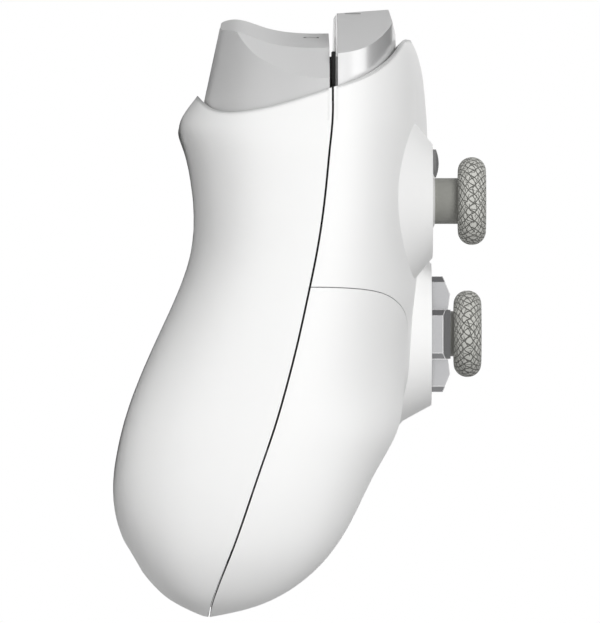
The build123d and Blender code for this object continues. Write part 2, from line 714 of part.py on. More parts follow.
def buttons():
    """Face buttons, the small buttons of the middle, their membrane and their switches."""
    pod_wall_bottom = BUTTON_POD_Z - SHELL_WALL
    for number, (x, y) in enumerate(face_places(), start=1):
        plunger_button(f"face_button_{number}", x, y, BUTTON_RADIUS, BUTTON_TOP, BUTTON_DOME, BUTTON_TRAVEL,
                       pod_wall_bottom)
    middle_wall_bottom = MIDDLE_FRONT - SHELL_WALL - CROWN_DROP / 4
    plunger_button("view_button", -SMALL_X, SMALL_Y, SMALL_RADIUS, SMALL_TOP, BUTTON_DOME, SMALL_TRAVEL,
                   middle_wall_bottom)
    plunger_button("menu_button", SMALL_X, SMALL_Y, SMALL_RADIUS, SMALL_TOP, BUTTON_DOME, SMALL_TRAVEL,
                   middle_wall_bottom)
    plunger_button("home_button", 0, HOME_Y, HOME_RADIUS, HOME_TOP, BUTTON_DOME / 2, SMALL_TRAVEL,
                   middle_wall_bottom)
    plunger_button("share_button", 0, SHARE_Y, SHARE_RADIUS, SHARE_TOP, BUTTON_DOME / 2, SMALL_TRAVEL,
                   middle_wall_bottom)

    collar = STEM_RADIUS + RUNNING_GAP
    small_places = [(-SMALL_X, SMALL_Y), (SMALL_X, SMALL_Y), (0, HOME_Y), (0, SHARE_Y)]
    with BuildPart(Plane.XY.offset(BOARD_TOP)) as membrane:
        with Locations((STICK_X, STICK_Y, 0)):
            Box(2 * BUTTON_SPREAD, 2 * collar, MEMBRANE_THICK, align=(Align.CENTER, Align.CENTER, Align.MIN))
            Box(2 * collar, 2 * BUTTON_SPREAD, MEMBRANE_THICK, align=(Align.CENTER, Align.CENTER, Align.MIN))
        with Locations(*[(x, y, 0) for x, y in face_places()]):
            Cylinder(collar + COLLAR_WALL, COLLAR_TALL, align=(Align.CENTER, Align.CENTER, Align.MIN))
        with Locations(*[(x, y, 0) for x, y in face_places()]):
            Cylinder(collar, COLLAR_TALL, align=(Align.CENTER, Align.CENTER, Align.MIN), mode=Mode.SUBTRACT)
    keep(membrane, "button_membrane")

    with BuildPart(Plane.XY.offset(BOARD_TOP)) as switches:
        with Locations(*[(x, y, 0) for x, y in face_places() + small_places]):
            Cylinder(SWITCH_RADIUS, SWITCH_TALL, align=(Align.CENTER, Align.CENTER, Align.MIN))
    keep(switches, "button_switches")


def shells():
    """Front shell with its pods, the two grip covers and the rear shell."""
    outer = envelope(0)
    inner = envelope(SHELL_WALL)
    with BuildPart() as walls:
        add(outer)
        add(inner, mode=Mode.SUBTRACT)
    with BuildPart() as well:
        add(opening_prism(0, BUMPER_INNER_X - RUNNING_GAP, TRIGGER_FRONT_Z, OPENING_FRONT_Z, OPENING_BOTTOM_Y))
        add(opening_prism(0, TRIGGER_INNER_X - RUNNING_GAP, OPENING_REAR_Z, OPENING_FRONT_Z,
                          OPENING_BOTTOM_Y))
    opening = well.part
    front_space = seam_zone(True, SEAM_GAP / 2)
    cover_space = cover_zone(0)
    hole_depth = 3 * SHELL_WALL

    with BuildPart() as front_supports:
        for side in (-1, 1):
            with Locations((side * UPPER_SCREW[0], UPPER_SCREW[1], BOARD_TOP)):
                Cylinder(PILOT + 2 * BOSS_WALL, -BOARD_TOP, align=(Align.CENTER, Align.CENTER, Align.MIN))
        add(outer, mode=Mode.INTERSECT)

    with BuildPart() as front:
        add(walls.part)
        add(front_space, mode=Mode.INTERSECT)
        add(cover_zone(-COVER_GAP), mode=Mode.SUBTRACT)
        mirror(cover_zone(-COVER_GAP), about=Plane.YZ, mode=Mode.SUBTRACT)
        add(opening, mode=Mode.SUBTRACT)
        mirror(opening, about=Plane.YZ, mode=Mode.SUBTRACT)
        add(front_supports.part)
        with Locations((-STICK_X, STICK_Y, FACE_Z), (INNER_X, 0, FACE_Z)):
            Cylinder(WELL_RADIUS, 2 * hole_depth, mode=Mode.SUBTRACT)
        with Locations((-INNER_X, 0, FACE_Z)):
            Cylinder(DISH_RADIUS, 2 * hole_depth, mode=Mode.SUBTRACT)
        with Locations(*[(x, y, FACE_Z) for x, y in face_places()]):
            Cylinder(BUTTON_RADIUS + RUNNING_GAP, 2 * hole_depth, mode=Mode.SUBTRACT)
        with Locations((-SMALL_X, SMALL_Y, FACE_Z), (SMALL_X, SMALL_Y, FACE_Z)):
            Cylinder(SMALL_RADIUS + RUNNING_GAP / 2, 2 * hole_depth, mode=Mode.SUBTRACT)
        with Locations((0, HOME_Y, FACE_Z)):
            Cylinder(HOME_RADIUS + RUNNING_GAP / 2, 2 * hole_depth, mode=Mode.SUBTRACT)
        with Locations((0, SHARE_Y, FACE_Z)):
            Cylinder(SHARE_RADIUS + RUNNING_GAP / 2, 2 * hole_depth, mode=Mode.SUBTRACT)
        with Locations(*[(side * UPPER_SCREW[0], UPPER_SCREW[1], UPPER_SCREW_SEAT) for side in (-1, 1)]):
            Cylinder(SCREW_SHANK + PIN_GAP, 2 * (SHANK_LONG + RUNNING_GAP), mode=Mode.SUBTRACT)
        with Locations((0, MIDDLE_BOTTOM_Y, BOARD_TOP + JACK_SIDE / 2)):
            Cylinder(JACK_NOSE + RUNNING_GAP / 2, 4 * SHELL_WALL, rotation=(90, 0, 0), mode=Mode.SUBTRACT)
        with Locations((0, PORT_BOARD_Y[1], PORT_Z - PORT_BOARD_THICK / 2)):
            Box(2 * PORT_BOARD_HALF + 2 * RUNNING_GAP, 2 * (PORT_BOARD_Y[1] - PORT_BOARD_Y[0]),
                PORT_TALL + 2 * PORT_WALL + PORT_BOARD_THICK + 4 * RUNNING_GAP, mode=Mode.SUBTRACT)
    keep(front, "front_shell")

    with BuildPart() as cover_supports:
        with Locations((GRIP_SCREW[0], GRIP_SCREW[1], GRIP_SCREW_SEAT)):
            Cylinder(PILOT + 2 * BOSS_WALL, BODY_DEPTH, align=(Align.CENTER, Align.CENTER, Align.MIN))
        add(outer, mode=Mode.INTERSECT)
    with BuildPart() as cover:
        add(walls.part)
        add(cover_supports.part)
        add(front_space, mode=Mode.INTERSECT)
        add(cover_space, mode=Mode.INTERSECT)
        with Locations((GRIP_SCREW[0], GRIP_SCREW[1], GRIP_SCREW_SEAT)):
            Cylinder(SCREW_SHANK + PIN_GAP, 2 * (SHANK_LONG + RUNNING_GAP), mode=Mode.SUBTRACT)
    keep(cover, "right_grip_cover")
    with BuildPart() as left_cover:
        mirror(cover.part, about=Plane.YZ)
    keep(left_cover, "left_grip_cover")

    boss_radius = RECESS + BOSS_WALL
    with BuildPart() as rear_supports:
        for side in (-1, 1):
            with Locations((side * UPPER_SCREW[0], UPPER_SCREW[1], CHASSIS_TOP - CHASSIS_THICK)):
                Cylinder(boss_radius, BODY_DEPTH, align=(Align.CENTER, Align.CENTER, Align.MAX))
            with Locations((side * GRIP_SCREW[0], GRIP_SCREW[1], GRIP_SCREW_SEAT + 2 * HEAD_THICK)):
                Cylinder(boss_radius, BODY_DEPTH, align=(Align.CENTER, Align.CENTER, Align.MAX))
            for end in (0, 1):
                rib_x = MOTOR_X + CRADLE_THICK + end * (MOTOR_LONG - 3 * CRADLE_THICK) + CRADLE_THICK / 2
                with Locations((side * rib_x, MOTOR_Y, MOTOR_Z)):
                    Box(CRADLE_THICK, 2 * MOTOR_RADIUS, BODY_DEPTH,
                        align=(Align.CENTER, Align.CENTER, Align.MAX))
            with Locations((side * (MOTOR_X + MOTOR_LONG / 2), MOTOR_Y, MOTOR_Z)):
                Cylinder(MOTOR_RADIUS + PIN_GAP, 2 * MOTOR_LONG, rotation=(0, 90, 0), mode=Mode.SUBTRACT)
        add(outer, mode=Mode.INTERSECT)

    with BuildPart() as rear:
        add(walls.part)
        add(opening, mode=Mode.SUBTRACT)
        mirror(opening, about=Plane.YZ, mode=Mode.SUBTRACT)
        add(rear_supports.part)
        add(seam_zone(False, SEAM_GAP / 2), mode=Mode.INTERSECT)
        for side in (-1, 1):
            for (x, y), seat in ((UPPER_SCREW, UPPER_SCREW_SEAT), (GRIP_SCREW, GRIP_SCREW_SEAT)):
                with Locations((side * x, y, seat)):
                    Cylinder(RECESS, BODY_DEPTH, align=(Align.CENTER, Align.CENTER, Align.MAX),
                             mode=Mode.SUBTRACT)
                    Cylinder(SCREW_SHANK + PIN_GAP, SHANK_LONG,
                             align=(Align.CENTER, Align.CENTER, Align.MIN), mode=Mode.SUBTRACT)
    keep(rear, "rear_shell")


def screws():
    """Four screws from the rear, into the front shell and the grip covers."""
    with BuildPart() as group:
        for side in (-1, 1):
            for (x, y), seat in ((UPPER_SCREW, UPPER_SCREW_SEAT), (GRIP_SCREW, GRIP_SCREW_SEAT)):
                with Locations((side * x, y, seat)):
                    Cylinder(SCREW_HEAD, HEAD_THICK, align=(Align.CENTER, Align.CENTER, Align.MAX))
                    Cylinder(SCREW_SHANK, SHANK_LONG, align=(Align.CENTER, Align.CENTER, Align.MIN))
                with Locations((side * x, y, seat - HEAD_THICK)):
                    Cylinder(SCREW_SHANK / 2, HEAD_THICK, mode=Mode.SUBTRACT)
    keep(group, "shell_screws")


def trigger_walls(inset, front_z, bottom_y):
    """Walls of the trigger on the player's right: upright at the bottom, then leaning to the tip."""
    high_y = TRIGGER_BOTTOM_Y + 2 * TRIGGER_TALL
    lean = (TRIGGER_TIP_Z - OPENING_REAR_Z - TRIGGER_GAP) / (TRIGGER_BOTTOM_Y + TRIGGER_TALL - TRIGGER_LEAN_Y)
    high_rear = OPENING_REAR_Z + lean * (high_y - TRIGGER_LEAN_Y)
    inner_x = TRIGGER_INNER_X + inset
    gap = TRIGGER_GAP + inset
    low = opening_sketch(gap, inner_x, OPENING_REAR_Z, front_z)
    high = opening_sketch(gap, inner_x, OPENING_REAR_Z, front_z, high_rear)
    with BuildPart() as body:
        extrude(low.moved(Location((0, bottom_y, 0))), amount=bottom_y - TRIGGER_LEAN_Y)
        loft(sections=[low.moved(Location((0, TRIGGER_LEAN_Y, 0))).face(),
                       high.moved(Location((0, high_y, 0))).face()], ruled=True)
    return body.part


def trigger_cut(shares, slope, place, inset):
    """Space under a surface that falls outwards along a trigger, moved inwards by an inset."""
    lift = slope * place * TRIGGER_LONG - inset * hypot(1, slope)
    points = [(TRIGGER_BOTTOM_Y + tall * TRIGGER_TALL + lift,
               TRIGGER_FRONT_Z + along * (TRIGGER_TIP_Z - TRIGGER_FRONT_Z)) for along, tall in shares]
    with BuildPart() as body:
        with BuildSketch(Plane.YZ.offset(TRIGGER_INNER_X)):
            with BuildLine():
                Spline(*points)
                Polyline(points[-1], (0, points[-1][1]), (0, points[0][1]), points[0])
            make_face()
        extrude(amount=2 * TRIGGER_LONG, dir=(1, -slope, 0))
    return body.part


def trigger(side, hand):
    """One trigger: a hollow finger piece with two arms on a pin."""
    with BuildPart() as hollow:
        add(trigger_walls(COVER_WALL, TRIGGER_FRONT_Z - COVER_WALL, TRIGGER_BOTTOM_Y - COVER_WALL))
        add(trigger_cut(FINGER_SHARES, FINGER_SLOPE, 0, COVER_WALL), mode=Mode.INTERSECT)
        add(trigger_cut(BAND_SHARES, BAND_SLOPE, BAND_PLACE_SHARE, COVER_WALL), mode=Mode.INTERSECT)
    with BuildPart() as finger:
        add(trigger_walls(0, TRIGGER_FRONT_Z, TRIGGER_BOTTOM_Y))
        add(trigger_cut(FINGER_SHARES, FINGER_SLOPE, 0, 0), mode=Mode.INTERSECT)
        add(trigger_cut(BAND_SHARES, BAND_SLOPE, BAND_PLACE_SHARE, 0), mode=Mode.INTERSECT)
        add(hollow.part, mode=Mode.SUBTRACT)
        with BuildSketch(Plane.YZ):
            Polygon((TRIGGER_BOTTOM_Y, OPENING_REAR_Z), (TRIGGER_FRONT_BOTTOM_Y, TRIGGER_FRONT_Z),
                    (TRIGGER_BOTTOM_Y, TRIGGER_FRONT_Z), align=None)
        extrude(amount=BODY_WIDTH, both=True, mode=Mode.SUBTRACT)
        with BuildSketch(Plane.YZ, mode=Mode.PRIVATE) as arm:
            with Locations((HUB_Y_PLACE, HUB_Z_PLACE)):
                Circle(HUB_RADIUS)
            with Locations((ARM_REACH_Y, ARM_REACH_Z)):
                Circle(ARM_END)
            make_hull()
        extrude(arm.sketch.moved(Location((TRIGGER_INNER_X, 0, 0))), amount=ARM_THICK)
        extrude(arm.sketch.moved(Location((ARM_OUTER_X, 0, 0))), amount=ARM_THICK)
        with Locations((TRIGGER_INNER_X, HUB_Y_PLACE, HUB_Z_PLACE)):
            Cylinder(TRIGGER_PIN + PIN_GAP, BODY_WIDTH, rotation=(0, 90, 0), mode=Mode.SUBTRACT)
    with BuildPart() as body:
        if side > 0:
            add(finger.part)
        else:
            mirror(finger.part, about=Plane.YZ)
    keep(body, f"{hand}_trigger")


def trigger_gear(side, hand):
    """The pin of a trigger and the torsion spring round it."""
    inner_end = TRIGGER_INNER_X - RUNNING_GAP - EAR_THICK
    outer_end = OUTER_EAR_X + EAR_THICK
    with BuildPart() as pin:
        with Locations((side * (inner_end + outer_end) / 2, HUB_Y_PLACE, HUB_Z_PLACE)):
            Cylinder(TRIGGER_PIN, outer_end - inner_end, rotation=(0, 90, 0))
    keep(pin, f"{hand}_trigger_pin")
    start_x = side * (TRIGGER_INNER_X + ARM_THICK + RUNNING_GAP + SPRING_WIRE)
    with BuildPart() as spring:
        with BuildLine() as coil:
            Helix(SPRING_PITCH, SPRING_TURNS * SPRING_PITCH, SPRING_RADIUS - HUB_RADIUS + TRIGGER_PIN,
                  center=(start_x, HUB_Y_PLACE, HUB_Z_PLACE), direction=(side, 0, 0))
        with BuildSketch(Plane(origin=coil.line @ 0, z_dir=coil.line % 0)):
            Circle(SPRING_WIRE)
        sweep(path=coil.line, is_frenet=True)
    keep(spring, f"{hand}_trigger_spring")


def above_border(drop):
    """Everything above the border of the shoulders, from a drop under it."""
    reach = 2 * BODY_LENGTH
    points = [(y * HALF_LENGTH - drop, z * BODY_DEPTH) for z, y in BORDER_SHARES]
    with BuildPart() as body:
        with BuildSketch(Plane.YZ):
            with BuildLine():
                Spline(*points)
                Polyline(points[-1], (reach, points[-1][1]), (reach, points[0][1]), points[0])
            make_face()
        extrude(amount=BODY_WIDTH, both=True)
    return body.part


def bumper_top(inset):
    """Space under the top of the bumper on the player's right, seen from the face."""
    points = [(BUMPER_INNER_X + along * BUMPER_LONG, BUMPER_TOP_Y - drop * BUMPER_TALL - inset)
              for along, drop in BUMPER_TOP_SHARES]
    with BuildPart() as body:
        with BuildSketch(Plane.XY):
            with BuildLine():
                Spline(*points)
                Polyline(points[-1], (points[-1][0], 0), (0, 0), (0, points[0][1]), points[0])
            make_face()
        extrude(amount=-BODY_DEPTH)
    return body.part


def bumper_side(inset):
    """Space inside the side outline of a bumper, which the bridge shares."""
    rear_z = BUMPER_REAR_Z + inset
    front_z = BUMPER_FRONT_Z - inset
    outline = [(BUMPER_TOP_Y - BUMPER_REAR_DROP - inset, rear_z),
               (BUMPER_TOP_Y - inset, front_z - BUMPER_BEVEL), (BUMPER_TOP_Y - BUMPER_FRONT_DROP, front_z),
               (HUB_Y_PLACE, front_z), (HUB_Y_PLACE, rear_z)]
    with BuildPart() as body:
        with BuildSketch(Plane.YZ):
            Polygon(*outline, align=None)
        extrude(amount=BODY_WIDTH, both=True)
    return body.part


def bumpers():
    """Both bumpers with their pins, and the bridge between them that holds the pins."""
    knuckle_mid = sum(KNUCKLE_Z) / 2
    knuckle_long = KNUCKLE_Z[1] - KNUCKLE_Z[0]
    with BuildPart() as outside:
        add(opening_prism(RUNNING_GAP, BUMPER_INNER_X, BUMPER_REAR_Z, OPENING_FRONT_Z, OPENING_BOTTOM_Y))
        add(bumper_top(0), mode=Mode.INTERSECT)
        add(bumper_side(0), mode=Mode.INTERSECT)
        add(above_border(BUMPER_SINK), mode=Mode.INTERSECT)
    with BuildPart() as hollow:
        add(opening_prism(RUNNING_GAP + COVER_WALL, BUMPER_INNER_X + COVER_WALL, BUMPER_REAR_Z + COVER_WALL,
                          OPENING_FRONT_Z, OPENING_BOTTOM_Y))
        add(bumper_top(COVER_WALL), mode=Mode.INTERSECT)
        add(bumper_side(COVER_WALL), mode=Mode.INTERSECT)
    with BuildPart() as bumper:
        add(outside.part)
        add(hollow.part, mode=Mode.SUBTRACT)
        with Locations((BUMPER_INNER_X, BUMPER_PIN_Y - KNUCKLE_RADIUS, knuckle_mid)):
            Box(4 * COVER_WALL, 4 * KNUCKLE_RADIUS, knuckle_long + 4 * RUNNING_GAP, mode=Mode.SUBTRACT)
        with Locations((BUMPER_PIN_X, BUMPER_PIN_Y, knuckle_mid)):
            Cylinder(BUMPER_PIN + PIN_GAP, BODY_DEPTH, mode=Mode.SUBTRACT)
    keep(bumper, "right_bumper")
    with BuildPart() as left:
        mirror(bumper.part, about=Plane.YZ)
    keep(left, "left_bumper")

    with BuildPart() as pins:
        for side in (-1, 1):
            with Locations((side * BUMPER_PIN_X, BUMPER_PIN_Y, BUMPER_REAR_Z + BUMPER_PIN / 2)):
                Cylinder(BUMPER_PIN, BUMPER_FRONT_Z - BUMPER_REAR_Z - COVER_WALL,
                         align=(Align.CENTER, Align.CENTER, Align.MIN))
    keep(pins, "bumper_pins")

    with BuildPart() as bridge:
        Box(2 * BRIDGE_HALF, 2 * BODY_LENGTH, BODY_LENGTH)
        add(bumper_side(0), mode=Mode.INTERSECT)
        add(above_border(-RUNNING_GAP / 3), mode=Mode.INTERSECT)
        for side in (-1, 1):
            with Locations((side * (BRIDGE_HALF + BUMPER_PIN_X) / 2, BUMPER_PIN_Y, knuckle_mid)):
                Box(BUMPER_PIN_X - BRIDGE_HALF + COVER_WALL, 2 * BUMPER_PIN, knuckle_long)
            with Locations((side * BUMPER_PIN_X, BUMPER_PIN_Y, knuckle_mid)):
                Cylinder(KNUCKLE_RADIUS, knuckle_long)
                Cylinder(BUMPER_PIN + PIN_GAP / 2, BODY_LENGTH, mode=Mode.SUBTRACT)
        with Locations((0, PORT_BOARD_Y[1], PORT_Z)):
            Box(PORT_WIDE + 2 * PORT_WALL + RUNNING_GAP, BODY_LENGTH,
                PORT_TALL + 2 * PORT_WALL + RUNNING_GAP, mode=Mode.SUBTRACT)
        port_bottom = PORT_Z - PORT_TALL / 2 - PORT_WALL
        with Locations((0, PORT_BOARD_Y[1] + RUNNING_GAP, port_bottom + RUNNING_GAP)):
            Box(2 * (PORT_BOARD_HALF + RUNNING_GAP), BODY_LENGTH / 2, PORT_BOARD_THICK + 3 * RUNNING_GAP,
                align=(Align.CENTER, Align.MAX, Align.MAX), mode=Mode.SUBTRACT)
    keep(bridge, "bumper_bridge")


def electronics():
    """Main board, carrier, battery, sockets and rumble motors."""
    with BuildPart() as board:
        with BuildSketch(Plane.XY.offset(BOARD_TOP - BOARD_THICK)):
            with Locations((0, (BOARD_BOTTOM_Y + BOARD_SIDE_TOP_Y) / 2)):
                Rectangle(2 * BOARD_HALF, BOARD_SIDE_TOP_Y - BOARD_BOTTOM_Y)
            with Locations((0, (BOARD_BOTTOM_Y + BOARD_TOP_Y) / 2)):
                Rectangle(2 * BOARD_NECK, BOARD_TOP_Y - BOARD_BOTTOM_Y)
            with Locations((UPPER_SCREW[0], UPPER_SCREW[1]), (-UPPER_SCREW[0], UPPER_SCREW[1])):
                Circle(SCREW_SHANK + RUNNING_GAP, mode=Mode.SUBTRACT)
        extrude(amount=BOARD_THICK)
    keep(board, "main_board")

    board_places = ((-1, "left"), (1, "right"))
    for side, hand in board_places:
        with BuildPart() as divider:
            with Locations((side * DIVIDER_MID_X, BOARD_SIDE_TOP_Y, DIVIDER_Z)):
                Box(DIVIDER_LONG, DIVIDER_TOP_Y - BOARD_SIDE_TOP_Y, DIVIDER_THICK,
                    align=(Align.CENTER, Align.MIN, Align.CENTER))
        keep(divider, f"{hand}_bumper_board")

    plate_bottom = CHASSIS_TOP - CHASSIS_THICK
    rail_x = TRIGGER_INNER_X - RUNNING_GAP - EAR_THICK
    wing_mid = sum(CHASSIS_SIDE_Y) / 2
    wing_long = CHASSIS_SIDE_Y[1] - CHASSIS_SIDE_Y[0]
    with BuildPart() as chassis:
        with BuildSketch(Plane.XY.offset(plate_bottom)):
            with Locations((0, (BOARD_BOTTOM_Y + BOARD_TOP_Y) / 2)):
                Rectangle(2 * (rail_x + EAR_THICK), BOARD_TOP_Y - BOARD_BOTTOM_Y)
            with Locations((0, wing_mid)):
                Rectangle(2 * CHASSIS_HALF, wing_long)
        extrude(amount=CHASSIS_THICK)
        with Locations(*[(side * UPPER_SCREW[0], UPPER_SCREW[1], CHASSIS_TOP) for side in (-1, 1)]):
            Cylinder(PILOT + 2 * BOSS_WALL, CHASSIS_GAP, align=(Align.CENTER, Align.CENTER, Align.MIN))
        with Locations(*[(side * UPPER_SCREW[0], BOARD_BOTTOM_Y + RECESS, CHASSIS_TOP) for side in (-1, 1)]):
            Cylinder(PILOT + BOSS_WALL, CHASSIS_GAP, align=(Align.CENTER, Align.CENTER, Align.MIN))
        with Locations(*[(side * UPPER_SCREW[0], UPPER_SCREW[1], CHASSIS_TOP) for side in (-1, 1)]):
            Cylinder(SCREW_SHANK + PIN_GAP, 4 * CHASSIS_GAP, mode=Mode.SUBTRACT)
        with BuildSketch(Plane.YZ) as inner_ear:
            with Locations((HUB_Y_PLACE, HUB_Z_PLACE)):
                Circle(EAR_RADIUS)
            with Locations((HUB_Y_PLACE - EAR_RADIUS + CHASSIS_THICK, CHASSIS_TOP)):
                Circle(CHASSIS_THICK)
            make_hull()
        with BuildSketch(Plane.YZ) as outer_ear:
            with Locations((HUB_Y_PLACE, HUB_Z_PLACE)):
                Circle(OUTER_EAR_RADIUS)
            with Locations((CHASSIS_SIDE_Y[1] - OUTER_EAR_RADIUS,
                            CHASSIS_TOP + OUTER_EAR_RADIUS - CHASSIS_THICK)):
                Circle(OUTER_EAR_RADIUS)
            make_hull()
        for side in (-1, 1):
            extrude(inner_ear.sketch.moved(Location((side * rail_x, 0, 0))), amount=side * EAR_THICK)
            extrude(outer_ear.sketch.moved(Location((side * OUTER_EAR_X, 0, 0))), amount=side * EAR_THICK)
        with Locations((0, HUB_Y_PLACE, HUB_Z_PLACE)):
            Cylinder(TRIGGER_PIN + PIN_GAP / 2, BODY_WIDTH, rotation=(0, 90, 0), mode=Mode.SUBTRACT)
    keep(chassis, "chassis")

    with BuildPart() as battery:
        with Locations((0, BATTERY_Y, plate_bottom - SWITCH_GAP)):
            Box(*BATTERY_SIZE, align=(Align.CENTER, Align.CENTER, Align.MAX))
        fillet(battery.edges().filter_by(Axis.Y), BATTERY_SIZE[2] / 4)
    keep(battery, "battery")

    board_top = PORT_Z - PORT_TALL / 2 - PORT_WALL
    with BuildPart() as port_board:
        with Locations((0, (PORT_BOARD_Y[0] + PORT_BOARD_Y[1]) / 2, board_top)):
            Box(2 * PORT_BOARD_HALF, PORT_BOARD_Y[1] - PORT_BOARD_Y[0], PORT_BOARD_THICK,
                align=(Align.CENTER, Align.CENTER, Align.MAX))
        with Locations((0, PORT_BOARD_Y[0], BOARD_TOP)):
            Box(2 * PORT_BOARD_HALF, BOARD_TOP_Y - PORT_BOARD_Y[0], board_top - PORT_BOARD_THICK - BOARD_TOP,
                align=(Align.CENTER, Align.MIN, Align.MIN))
    keep(port_board, "port_board")

    port_front = BUMPER_TOP_Y - BUMPER_REAR_DROP - RUNNING_GAP / 3
    with BuildPart() as port:
        with BuildSketch(Plane.XZ.offset(-port_front)):
            with Locations((0, PORT_Z)):
                RectangleRounded(PORT_WIDE + 2 * PORT_WALL, PORT_TALL + 2 * PORT_WALL, PORT_TALL / 2)
        extrude(amount=PORT_DEEP)
        with BuildSketch(Plane.XZ.offset(-port_front)):
            with Locations((0, PORT_Z)):
                RectangleRounded(PORT_WIDE, PORT_TALL, PORT_TALL / 2 - PORT_WALL)
        extrude(amount=PORT_DEEP - PORT_WALL, mode=Mode.SUBTRACT)
        with BuildSketch(Plane.XZ.offset(-port_front + PORT_WALL)):
            with Locations((0, PORT_Z)):
                Rectangle(PORT_WIDE - 4 * PORT_TONGUE, PORT_TONGUE)
        extrude(amount=PORT_DEEP - PORT_WALL)
    keep(port, "charging_port")

    jack_z = BOARD_TOP + JACK_SIDE / 2
    with BuildPart() as jack:
        with Locations((0, MIDDLE_BOTTOM_Y + SHELL_WALL + RUNNING_GAP, jack_z)):
            Box(JACK_SIDE, JACK_DEEP, JACK_SIDE, align=(Align.CENTER, Align.MIN, Align.CENTER))
        with BuildSketch(Plane.XZ.offset(-MIDDLE_BOTTOM_Y)):
            with Locations((0, jack_z)):
                Circle(JACK_NOSE)
        extrude(amount=-2 * SHELL_WALL)
        with BuildSketch(Plane.XZ.offset(-MIDDLE_BOTTOM_Y)):
            with Locations((0, jack_z)):
                Circle(JACK_BORE)
        extrude(amount=-JACK_DEEP, mode=Mode.SUBTRACT)
    keep(jack, "headset_jack")


def motor(side, hand):
    """One rumble motor in a grip, with its eccentric weight."""
    shaft_x = MOTOR_X + MOTOR_LONG
    with BuildPart() as can:
        with Locations((side * MOTOR_X, MOTOR_Y, MOTOR_Z)):
            Cylinder(MOTOR_RADIUS, MOTOR_LONG, rotation=(0, side * 90, 0),
                     align=(Align.CENTER, Align.CENTER, Align.MIN))
        with Locations((side * shaft_x, MOTOR_Y, MOTOR_Z)):
            Cylinder(MOTOR_SHAFT + PIN_GAP, MOTOR_LONG, rotation=(0, 90, 0), mode=Mode.SUBTRACT)
    keep(can, f"{hand}_rumble_motor")
    with BuildPart() as weight:
        with BuildSketch(Plane.YZ.offset(side * (shaft_x + WEIGHT_GAP))):
            with Locations((MOTOR_Y, MOTOR_Z)):
                Circle(WEIGHT_RADIUS)
                with Locations((0, WEIGHT_RADIUS)):
                    Rectangle(2 * WEIGHT_RADIUS, 2 * WEIGHT_RADIUS, mode=Mode.SUBTRACT)
                Circle(2 * MOTOR_SHAFT)
        extrude(amount=side * WEIGHT_LONG)
        with Locations((side * shaft_x, MOTOR_Y, MOTOR_Z)):
            Cylinder(MOTOR_SHAFT, 2 * (WEIGHT_GAP + PIN_GAP) + MOTOR_SHAFT * 4, rotation=(0, 90, 0))
    keep(weight, f"{hand}_rumble_weight")


def placement():
    """Turn and shift that stand the gamepad on its grips and rear shoulders, origin under its middle."""
    rear = [(row[0] * HALF_LENGTH, row[7] * BODY_DEPTH) for row in WING_SHARES]
    lip_y, lip_z = min((point for point in rear if point[0] > HALF_LENGTH / 2), key=lambda point: point[1])
    grips = [point for point in rear if point[0] < 0]
    tilt = max(degrees(atan2(lip_z - z, lip_y - y)) for y, z in grips)
    turn = Location((0, 0, 0), (-tilt, 0, 0))
    bounds = Compound(children=[piece.moved(turn) for piece in pieces.values()]).bounding_box()
    shift = Location((0, -bounds.center().Y, -bounds.min.Z))
    print("tilt", tilt, "shift", -bounds.center().Y, -bounds.min.Z, "size", bounds.size)
    return shift * turn


shells()
screws()
stick_module("left", -STICK_X, STICK_Y)
stick_module("right", INNER_X, 0)
pad()
buttons()
bumpers()
electronics()
for side, hand in ((-1, "left"), (1, "right")):
    trigger(side, hand)
    trigger_gear(side, hand)
    motor(side, hand)

place = placement()
os.makedirs("parts", exist_ok=True)
for label, piece in pieces.items():
    export_step(piece.moved(place), f"parts/{label}.step")
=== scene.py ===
"""Looks of a wireless gamepad: its finishes, its printed numerals, the studio and the camera."""

